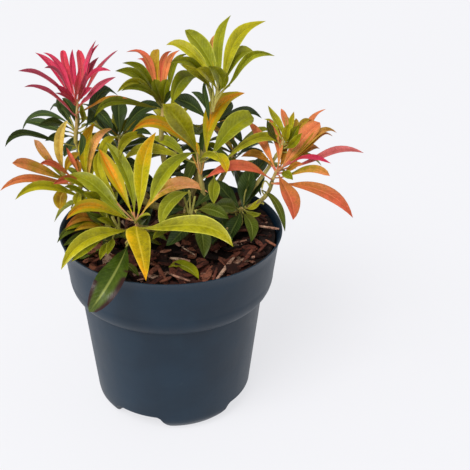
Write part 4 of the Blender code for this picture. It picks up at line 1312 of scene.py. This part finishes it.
def potMaterial():
    maker = Maker("pot_plastic")
    height = maker.split(maker.node("ShaderNodeTexCoord", {}, {}, "Object"))[2]
    patch = maker.noise(potFinish["patchSize"], 3.0)
    fine = maker.noise(potFinish["fineSize"], 2.0)
    streak = maker.noise(potFinish["streakSize"], 3.0, (1, 1, 0.12))
    scuff = maker.noise(potFinish["scuffSize"], 4.0, (1, 1, 2.2), 1.4)
    scratch = maker.noise(potFinish["scratchSize"], 4.0, (1, 1, 0.05))
    colour = maker.mix(patch.between(0.3, 0.7), rgb(*potFinish["dark"]), rgb(*potFinish["light"]))
    colour = maker.mix(streak.between(0.5, 0.8) * potFinish["streakShare"], colour, rgb(*potFinish["streak"]))
    wear = scuff.between(0.66, 0.78) * scratch.between(0.5, 0.62) * height.between(potFinish["scuffTop"], 0.0)
    colour = maker.mix(wear * potFinish["scuffShare"], colour, rgb(*potFinish["scuff"]))
    dust = height.between(*potFinish["dust"]) * fine.between(0.35, 0.7)
    colour = maker.mix(dust * potFinish["dustShare"], colour, rgb(*potFinish["scuff"]))
    roughness = potFinish["roughness"] + (patch - 0.5) * 0.18 + (streak - 0.5) * 0.12 + wear * 0.15
    relief = fine * 0.5 + patch * 6.0 + streak * 0.6
    normal = maker.bump(relief, potFinish["bump"], potFinish["bumpDepth"])
    return maker.finish(colour, roughness, normal, {"Specular IOR Level": potFinish["specular"]})


def evaluatedMesh(item):
    bpy.context.view_layer.update()
    return bpy.data.meshes.new_from_object(item.evaluated_get(bpy.context.evaluated_depsgraph_get()))


def aroundPot(radius, angle, z):
    # a point of the pot in metres, with its angle in degrees from the front
    angle = math.radians(angle)
    return Vector((radius * math.sin(angle), -radius * math.cos(angle), z)) * mm


def drillHole(piece, spot):
    bpy.ops.mesh.primitive_cylinder_add(vertices=pot["holeSides"], radius=pot["holeRadius"] * mm,
                                        depth=pot["holeCut"] * mm, location=spot)
    cutter = bpy.context.object
    cut = piece.modifiers.new("hole", "BOOLEAN")
    cut.object = cutter
    cut.operation = "DIFFERENCE"
    cut.solver = "EXACT"
    cutMesh = evaluatedMesh(piece)
    piece.modifiers.clear()
    piece.data = cutMesh
    bpy.data.objects.remove(cutter, do_unlink=True)


def makePot():
    sides = pot["sides"]
    angles = [pot["notchAzimuth"] + 360 * side / sides for side in range(sides)]
    profiles = [potProfile(notchRise(angle)) for angle in angles]
    rows = len(profiles[0])
    points = [aroundPot(profile[row][0], angle, profile[row][1])
              for row in range(rows) for angle, profile in zip(angles, profiles)]
    look = potMaterial()
    piece = newPiece("pot_shell", points, stitchRings(rows, sides), [look], None, pot["smooth"])
    for notch in range(pot["notches"]):
        angle = pot["notchAzimuth"] + 360 * notch / pot["notches"]
        drillHole(piece, aroundPot(pot["holeDistance"], angle, pot["notchHeight"] + pot["floor"] / 2))
    piece.data.materials.clear()
    piece.data.materials.append(look)
    piece.data.polygons.foreach_set("material_index", [0] * len(piece.data.polygons))
    piece.data.set_sharp_from_angle(angle=math.radians(pot["smooth"]))
    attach(piece, "root")
    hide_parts("pot")
    print("pot made")


# Bark mulch
# Heights, radii and lumps in mm. The bark is heaped up by bank on one side of the pot, at bankSide radians
# from its right. The lying leaves rest leafLevel above the bed, and the slivers sliverLevel
mulch = {"base": 148.0, "top": 151.6, "edge": 88.9, "stemHole": 7.0, "strewnHole": 8.0, "rings": 30,
         "sides": 96, "bank": 11.0, "bankSide": 0.3, "bankRamp": (45, 86), "lumps": ((11, 1.6), (3, 0.5)),
         "bedShadeTone": (0.02, 0.1), "toneLump": 5, "leafLevel": 6.5, "sliverLevel": 6.6, "seed": 7,
         "toneSeed": 3, "sliverSeed": 81}
# length, width and thickness of each shape of chip, and the seed of the first
chipShapes = {"chip": (40, ((13, 7, 1.7), (10, 8, 2.2), (17, 5, 1.5), (12, 6, 2.6), (15, 9, 1.6), (9, 7, 2.0),
                            (18, 3, 1.2))),
              "crumb": (60, ((6, 3.5, 1.4), (5, 4, 1.8), (8, 2, 1.0), (4, 3, 1.5)))}
# how the chips and the slivers are cut: their grid and the chance parts of their shape
chipCut = {"rows": 4, "sides": 6, "size": (0.75, 1.25), "bend": (-0.15, 0.3), "skew": (-0.25, 0.35),
           "power": 2.4, "taper": (0.3, 0.75), "rough": (0.85, 1.15), "edge": (0.85, 1.12),
           "face": (0.8, 1.15)}
sliverCut = {"rows": 5, "sides": 6, "power": 3, "taper": (0.3, 0.7), "rough": (0.85, 1.15),
             "edge": (0.85, 1.15), "face": (0.8, 1.2)}
# what is strewn: its shape, how far out and how high above the bed, how many, how they lean and their sizes
strewn = {"bark_chips": {"shape": "chip", "reach": 83.0, "rise": 2.4, "count": 300, "lean": 0.5,
                         "smallest": 1.05, "largest": 1.7},
          "bark_crumbs": {"shape": "crumb", "reach": 86.0, "rise": 1.0, "count": 360, "lean": 0.8,
                          "smallest": 0.8, "largest": 1.5}}
# slivers that show on the bark: pixels of both ends, width and thickness in mm, and how pale they are
slivers = (((170, 258), (190, 261), 4.0, 1.4, 0.93), ((236, 254), (217, 279), 3.8, 1.8, 0.97),
           ((259, 226), (279, 229), 3.6, 1.8, 0.92), ((182, 247), (195, 255), 1.2, 1.0, 1.0),
           ((170, 274), (190, 281), 2.6, 1.4, 0.92), ((206, 280), (212, 266), 5.0, 1.6, 0.76),
           ((213, 281), (217, 268), 3.0, 1.4, 0.7), ((226, 262), (240, 252), 4.6, 2.0, 0.7),
           ((233, 243), (247, 240), 2.4, 1.4, 0.9), ((150, 274), (158, 266), 5.5, 1.8, 0.74),
           ((160, 282), (171, 277), 4.0, 1.6, 0.8), ((141, 262), (156, 258), 4.0, 1.6, 0.68),
           ((196, 268), (208, 262), 5.0, 1.8, 0.6), ((243, 262), (252, 250), 3.6, 1.6, 0.72),
           ((88, 254), (98, 250), 4.0, 1.6, 0.8), ((92, 262), (104, 256), 3.0, 1.4, 0.72),
           ((160, 252), (171, 250), 4.0, 1.6, 0.86), ((172, 239), (180, 246), 4.4, 1.6, 0.88),
           ((266, 240), (276, 246), 3.0, 1.4, 0.82), ((254, 238), (262, 246), 4.4, 1.8, 0.66),
           ((128, 217), (126, 228), 4.0, 1.6, 0.86), ((258, 252), (266, 244), 3.2, 1.4, 0.6))
# the chips' colours, from the near-black painted shade of the deep gaps, which the bed under the chips takes,
# to the palest wood
chipStops = {0.0: (16, 8, 6), 0.2: (44, 18, 12), 0.48: (72, 34, 24), 0.68: (104, 54, 40),
             0.84: (146, 90, 66), 0.93: (180, 136, 114), 1.0: (214, 182, 154)}
chipFinish = {"crack": (26, 14, 10), "pale": (176, 134, 104), "crackShare": 0.7, "paleShare": 0.25,
              "grain": 330.0, "patch": 90.0, "roughness": 0.84, "specular": 0.25, "bump": 0.8,
              "bumpDepth": 0.0009}


def bankAt(spot):
    # how much higher the bark lies towards the bank's side, in mm
    angle = math.atan2(spot.y, spot.x) - mulch["bankSide"]
    reach = math.hypot(spot.x, spot.y) / mm
    return mulch["bank"] * smoothStep(*mulch["bankRamp"], reach) * max(0.0, math.cos(angle))


def spotOnBed(pixel, above):
    # where the line of sight meets a level in mm above the bark in the pot
    ray = rayThrough(pixel)
    spot = Vector((0, 0, 0))
    for step in range(4):
        spot = eye + ray * ((mulch["top"] + above + bankAt(spot)) * mm - eye.z) / ray.z
    return spot


def mulchMaterial():
    maker = Maker("bark_chips")
    chance = maker.node("ShaderNodeAttribute", {"attribute_name": "chipTone"}, {}, 2)
    grain = maker.noise(chipFinish["grain"], 5.0, (1, 1, 1), 0.8)
    patch = maker.noise(chipFinish["patch"], 3.0)
    stops = [(place, rgb(*colour)) for place, colour in chipStops.items()]
    colour = maker.ramp(chance + (patch - 0.5) * 0.3, stops)
    crack = grain.between(0.55, 0.38) * chipFinish["crackShare"]
    colour = maker.mix(crack, colour, rgb(*chipFinish["crack"]))
    pale = grain.between(0.6, 0.75) * chipFinish["paleShare"]
    colour = maker.mix(pale, colour, rgb(*chipFinish["pale"]))
    normal = maker.bump(grain + patch * 0.5, chipFinish["bump"], chipFinish["bumpDepth"])
    roughness = chipFinish["roughness"] + (grain - 0.5) * 0.24
    return maker.finish(colour, roughness, normal, {"Specular IOR Level": chipFinish["specular"]})


def slabRing(cut, place, wide, thick, chance):
    # the corners of a slab's cross-section, broken by chance and narrower towards its ends
    taper = (1 - abs(place) ** cut["power"] * chance.uniform(*cut["taper"])) * chance.uniform(*cut["rough"])
    for side in range(cut["sides"]):
        angle = 2 * math.pi * (side + 0.5) / cut["sides"]
        across = math.cos(angle) * wide / 2 * taper * chance.uniform(*cut["edge"])
        yield across, math.sin(angle) * thick / 2 * chance.uniform(*cut["face"])


def makeChip(name, size, seed):
    # a flaked chip: a bent slab with a broken edge
    chance = random.Random(seed)
    long, wide, thick = [length * mm * chance.uniform(*chipCut["size"]) for length in size]
    bend = chance.uniform(*chipCut["bend"])
    points = []
    for row in range(chipCut["rows"]):
        place = row / (chipCut["rows"] - 1) * 2 - 1
        for across, high in slabRing(chipCut, place, wide, thick, chance):
            skew = across * chance.uniform(*chipCut["skew"]) * place
            points.append(Vector((place * long / 2 + skew, across, high - bend * long * place ** 2 * 0.5)))
    piece = newPiece(name, points, stitchRings(chipCut["rows"], chipCut["sides"]), [], None, 30.0)
    bpy.context.collection.objects.unlink(piece)
    return piece


def chipTree(chipSet):
    # points spread on a bed, a chip on each, turned and sized by chance, then made real
    group = bpy.data.node_groups.new("chipsOnBed", "GeometryNodeTree")
    for label, way, kind in (("Geometry", "INPUT", "Geometry"), ("Count", "INPUT", "Float"),
                             ("Smallest", "INPUT", "Float"), ("Largest", "INPUT", "Float"),
                             ("Lean", "INPUT", "Float"), ("Seed", "INPUT", "Int"),
                             ("Look", "INPUT", "Material"), ("Geometry", "OUTPUT", "Geometry")):
        group.interface.new_socket(label, in_out=way, socket_type="NodeSocket" + kind)
    maker = Tree(group)
    labels = ("Geometry", "Count", "Smallest", "Largest", "Lean", "Seed", "Look")
    bed, count, smallest, largest, lean, seed, look = [maker.node("NodeGroupInput", {}, {}, label)
                                                       for label in labels]
    points = maker.node("GeometryNodeDistributePointsOnFaces", {},
                        {"Mesh": bed, "Density": count, "Seed": seed})
    chips = maker.node("GeometryNodeCollectionInfo", {},
                       {"Collection": chipSet, "Separate Children": True, "Reset Children": True})
    lowest = maker.node("ShaderNodeCombineXYZ", {}, {0: lean * -1.0, 1: lean * -1.0})
    highest = maker.node("ShaderNodeCombineXYZ", {}, {0: lean, 1: lean, 2: 2 * math.pi})
    spin = maker.node("FunctionNodeRandomValue", {"data_type": "FLOAT_VECTOR"},
                      {0: lowest, 1: highest, "Seed": seed})
    size = maker.node("FunctionNodeRandomValue", {"data_type": "FLOAT"},
                      {2: smallest, 3: largest, "Seed": seed}, 1)
    tone = maker.node("FunctionNodeRandomValue", {"data_type": "FLOAT"}, {"Seed": mulch["toneSeed"]}, 1)
    placed = maker.node("GeometryNodeInstanceOnPoints", {},
                        {"Points": points, "Instance": chips, "Pick Instance": True, "Rotation": spin,
                         "Scale": size})
    toned = maker.node("GeometryNodeStoreNamedAttribute", {"data_type": "FLOAT", "domain": "INSTANCE"},
                       {"Name": "chipTone", "Geometry": placed, "Value": tone})
    real = maker.node("GeometryNodeRealizeInstances", {}, {0: toned})
    painted = maker.node("GeometryNodeSetMaterial", {}, {"Geometry": real, "Material": look})
    maker.put(group.nodes.new("NodeGroupOutput").inputs[0], painted)
    return group


def scatterChips(name, tree, bed, values):
    scatter = bed.modifiers.new("chips", "NODES")
    scatter.node_group = tree
    sockets = {item.name: item.identifier for item in tree.interface.items_tree if item.in_out == "INPUT"}
    for label, value in values.items():
        scatter[sockets[label]] = value
    mesh = evaluatedMesh(bed)
    bed.modifiers.remove(scatter)
    mesh.name = name
    for vertex in mesh.vertices:
        reach = math.hypot(vertex.co.x, vertex.co.y)
        if reach > mulch["edge"] * mm:  # chips at the pot's wall lie against it
            vertex.co.x *= mulch["edge"] * mm / reach
            vertex.co.y *= mulch["edge"] * mm / reach
    piece = bpy.data.objects.new(name, mesh)
    bpy.context.collection.objects.link(piece)
    return piece


def bedDisc(reach, height, hole):
    # an uneven disc round the stem's foot, as rings of points from its edge inwards
    middle = Vector((trunk["foot"][0], trunk["foot"][1], 0)) * mm
    rings, sides = mulch["rings"], mulch["sides"]
    points = []
    for ring in range(rings + 1):
        for side in range(sides):
            angle = 2 * math.pi * side / sides
            ray = Vector((math.cos(angle), math.sin(angle), 0))
            along = -middle.dot(ray)
            edge = along + math.sqrt(along ** 2 + (reach * mm) ** 2 - middle.length_squared)
            spot = middle + ray * blend(edge, hole * mm, ring / rings)
            flat = Vector((spot.x, spot.y, 0))
            spot.z = (height + bankAt(spot)) * mm
            for size, rise in mulch["lumps"]:
                spot.z += noise.noise(flat / (size * mm)) * rise * mm
            points.append(spot)
    return points


def makeSlivers(look):
    chance = random.Random(mulch["sliverSeed"])
    points, faces, tones = [], [], []
    rows, sides = sliverCut["rows"], sliverCut["sides"]
    for start, end, wide, thick, tone in slivers:
        faces += shifted(stitchRings(rows, sides), len(points))
        tones += [tone] * rows * sides
        low, high = spotOnBed(start, mulch["sliverLevel"]), spotOnBed(end, mulch["sliverLevel"])
        ahead = (high - low).normalized()
        side = ahead.cross(up).normalized()
        for row in range(rows):
            share = row / (rows - 1)
            for across, rise in slabRing(sliverCut, share * 2 - 1, wide, thick, chance):
                points.append(low.lerp(high, share) + (side * across + up * rise) * mm)
    piece = newPiece("bark_slivers", points, faces, [look], None, 30.0)
    piece.data.attributes.new("chipTone", "FLOAT", "POINT").data.foreach_set("value", tones)
    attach(piece, "root")


def makeBed(look):
    # the bark's uneven top, with a skirt down to the soil at its edge and round the stem, painted near black
    # as the shade in the gaps between the chips
    sides = mulch["sides"]
    top = bedDisc(mulch["edge"], mulch["top"], mulch["stemHole"])
    skirt = [Vector((p.x, p.y, mulch["base"] * mm)) for p in top[:sides]]
    core = [Vector((p.x, p.y, mulch["base"] * mm)) for p in top[-sides:]]
    points = core + skirt + top
    rows = mulch["rings"] + 3
    faces = stitchRings(rows, sides, False, False)
    for side in range(sides):  # the last row closes on the first
        after = (side + 1) % sides
        last = (rows - 1) * sides
        faces.append((last + side, last + after, after, side))
    bed = newPiece("mulch_bed", points, faces, [look])
    # the bed's tone sits at the ramp's near-black end: painted shade in the gaps between the chips
    tone, vary = mulch["bedShadeTone"]
    tones = [tone + vary * noise.noise(p / (mulch["toneLump"] * mm)) for p in points]
    bed.data.attributes.new("chipTone", "FLOAT", "POINT").data.foreach_set("value", tones)
    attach(bed, "root")
    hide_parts("bark_mulch")


def makeMulch():
    look = mulchMaterial()
    makeBed(look)
    shapeSets = {}
    for kind, (seed, sizes) in chipShapes.items():
        shapeSets[kind] = bpy.data.collections.new(kind + "Shapes")
        for number, size in enumerate(sizes):
            shapeSets[kind].objects.link(makeChip(kind + str(number), size, seed + number))
    for name, kind in strewn.items():
        points = bedDisc(kind["reach"], mulch["top"] + kind["rise"], mulch["strewnHole"])
        faces = stitchRings(mulch["rings"] + 1, mulch["sides"], False, False)
        sheet = newPiece(name + "_sheet", points, faces, [])
        area = math.pi * (kind["reach"] * mm) ** 2
        values = {"Count": kind["count"] / area, "Smallest": kind["smallest"], "Largest": kind["largest"],
                  "Lean": kind["lean"], "Seed": mulch["seed"], "Look": look}
        piece = scatterChips(name, chipTree(shapeSets[kind["shape"]]), sheet, values)
        bpy.data.objects.remove(sheet, do_unlink=True)
        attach(piece, "root")
    makeSlivers(look)
    print("mulch made")


# Soil
soilFinish = {"dark": (28, 20, 15), "light": (70, 50, 36), "crumb": (92, 62, 44), "crumbShare": 0.4,
              "grain": 500.0, "patch": 90.0, "roughness": 0.9, "bump": 0.8, "bumpDepth": 0.001}


def soilMaterial():
    maker = Maker("potting_soil")
    grain = maker.noise(soilFinish["grain"], 6.0)
    patch = maker.noise(soilFinish["patch"], 3.0)
    colour = maker.mix(grain.between(0.35, 0.65), rgb(*soilFinish["dark"]), rgb(*soilFinish["light"]))
    crumbs = patch.between(0.6, 0.8) * soilFinish["crumbShare"]
    colour = maker.mix(crumbs, colour, rgb(*soilFinish["crumb"]))
    roughness = soilFinish["roughness"] + (grain - 0.5) * 0.15
    return maker.finish(colour, roughness, maker.bump(grain, soilFinish["bump"], soilFinish["bumpDepth"]))


def makeSoil():
    look = soilMaterial()
    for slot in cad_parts["soil"].material_slots:
        slot.material = look
    print("soil made")


# Floor and light
# Lengths in metres, spread in degrees. Each lamp at the sides has its place, where it points, size and power
studio = {"floor": (126, 126, 128), "floorPatch": (123, 123, 125), "floorRough": 0.9, "floorGlow": 0.72,
          "floorTint": (0.97, 0.97, 1.0, 1.0), "floorHalf": 8, "world": 0.46,
          "worldTint": (0.97, 0.98, 1.0, 1.0), "sky": 2.2, "skyRay": (0.4, 0.65, -1), "spread": 34.0}
sideLamps = {"left": ((-1.2, -0.5, 0.7), (0, 0, 0.18), 0.9, 5.0),
             "right": ((1.2, -0.3, 0.7), (0, 0, 0.16), 0.9, 0.6)}


def addLamp(name, kind, ray, power):
    lamp = bpy.data.lights.new(name, kind)
    lamp.energy = power
    item = bpy.data.objects.new(name, lamp)
    item.rotation_euler = ray.to_track_quat("-Z", "Y").to_euler()
    bpy.context.collection.objects.link(item)
    return item


def makeFloor():
    maker = Maker("studio_floor")
    colour = maker.mix(maker.noise(1.2, 2.0), rgb(*studio["floor"]), rgb(*studio["floorPatch"]))
    glow = {"Specular IOR Level": 0.1, "Emission Color": studio["floorTint"],
            "Emission Strength": studio["floorGlow"]}
    look = maker.finish(colour, studio["floorRough"], None, glow)
    half = studio["floorHalf"]
    points = [Vector(p) for p in ((-half, -half, 0), (half, -half, 0), (half, half, 0), (-half, half, 0))]
    floor = newPiece("floor", points, [(0, 1, 2, 3)], [look])


def makeStudio():
    makeFloor()
    world = bpy.data.worlds.new("studio")
    world.use_nodes = True
    sky = world.node_tree.nodes["Background"].inputs
    sky["Color"].default_value = studio["worldTint"]
    sky["Strength"].default_value = studio["world"]
    bpy.context.scene.world = world
    for name, (spot, aim, size, power) in sideLamps.items():
        item = addLamp(name, "AREA", Vector(aim) - Vector(spot), power)
        item.location = spot
        item.data.shape = "DISK"
        item.data.size = size
    softbox = addLamp("softbox", "SUN", Vector(studio["skyRay"]), studio["sky"])
    softbox.data.angle = math.radians(studio["spread"])
    bpy.context.scene.view_settings.view_transform = "Standard"
    print("floor and lights made")


makeCamera()
makeStudio()
makePot()
makeWood()
makeLeaves()
makeMulch()
makeSoil()
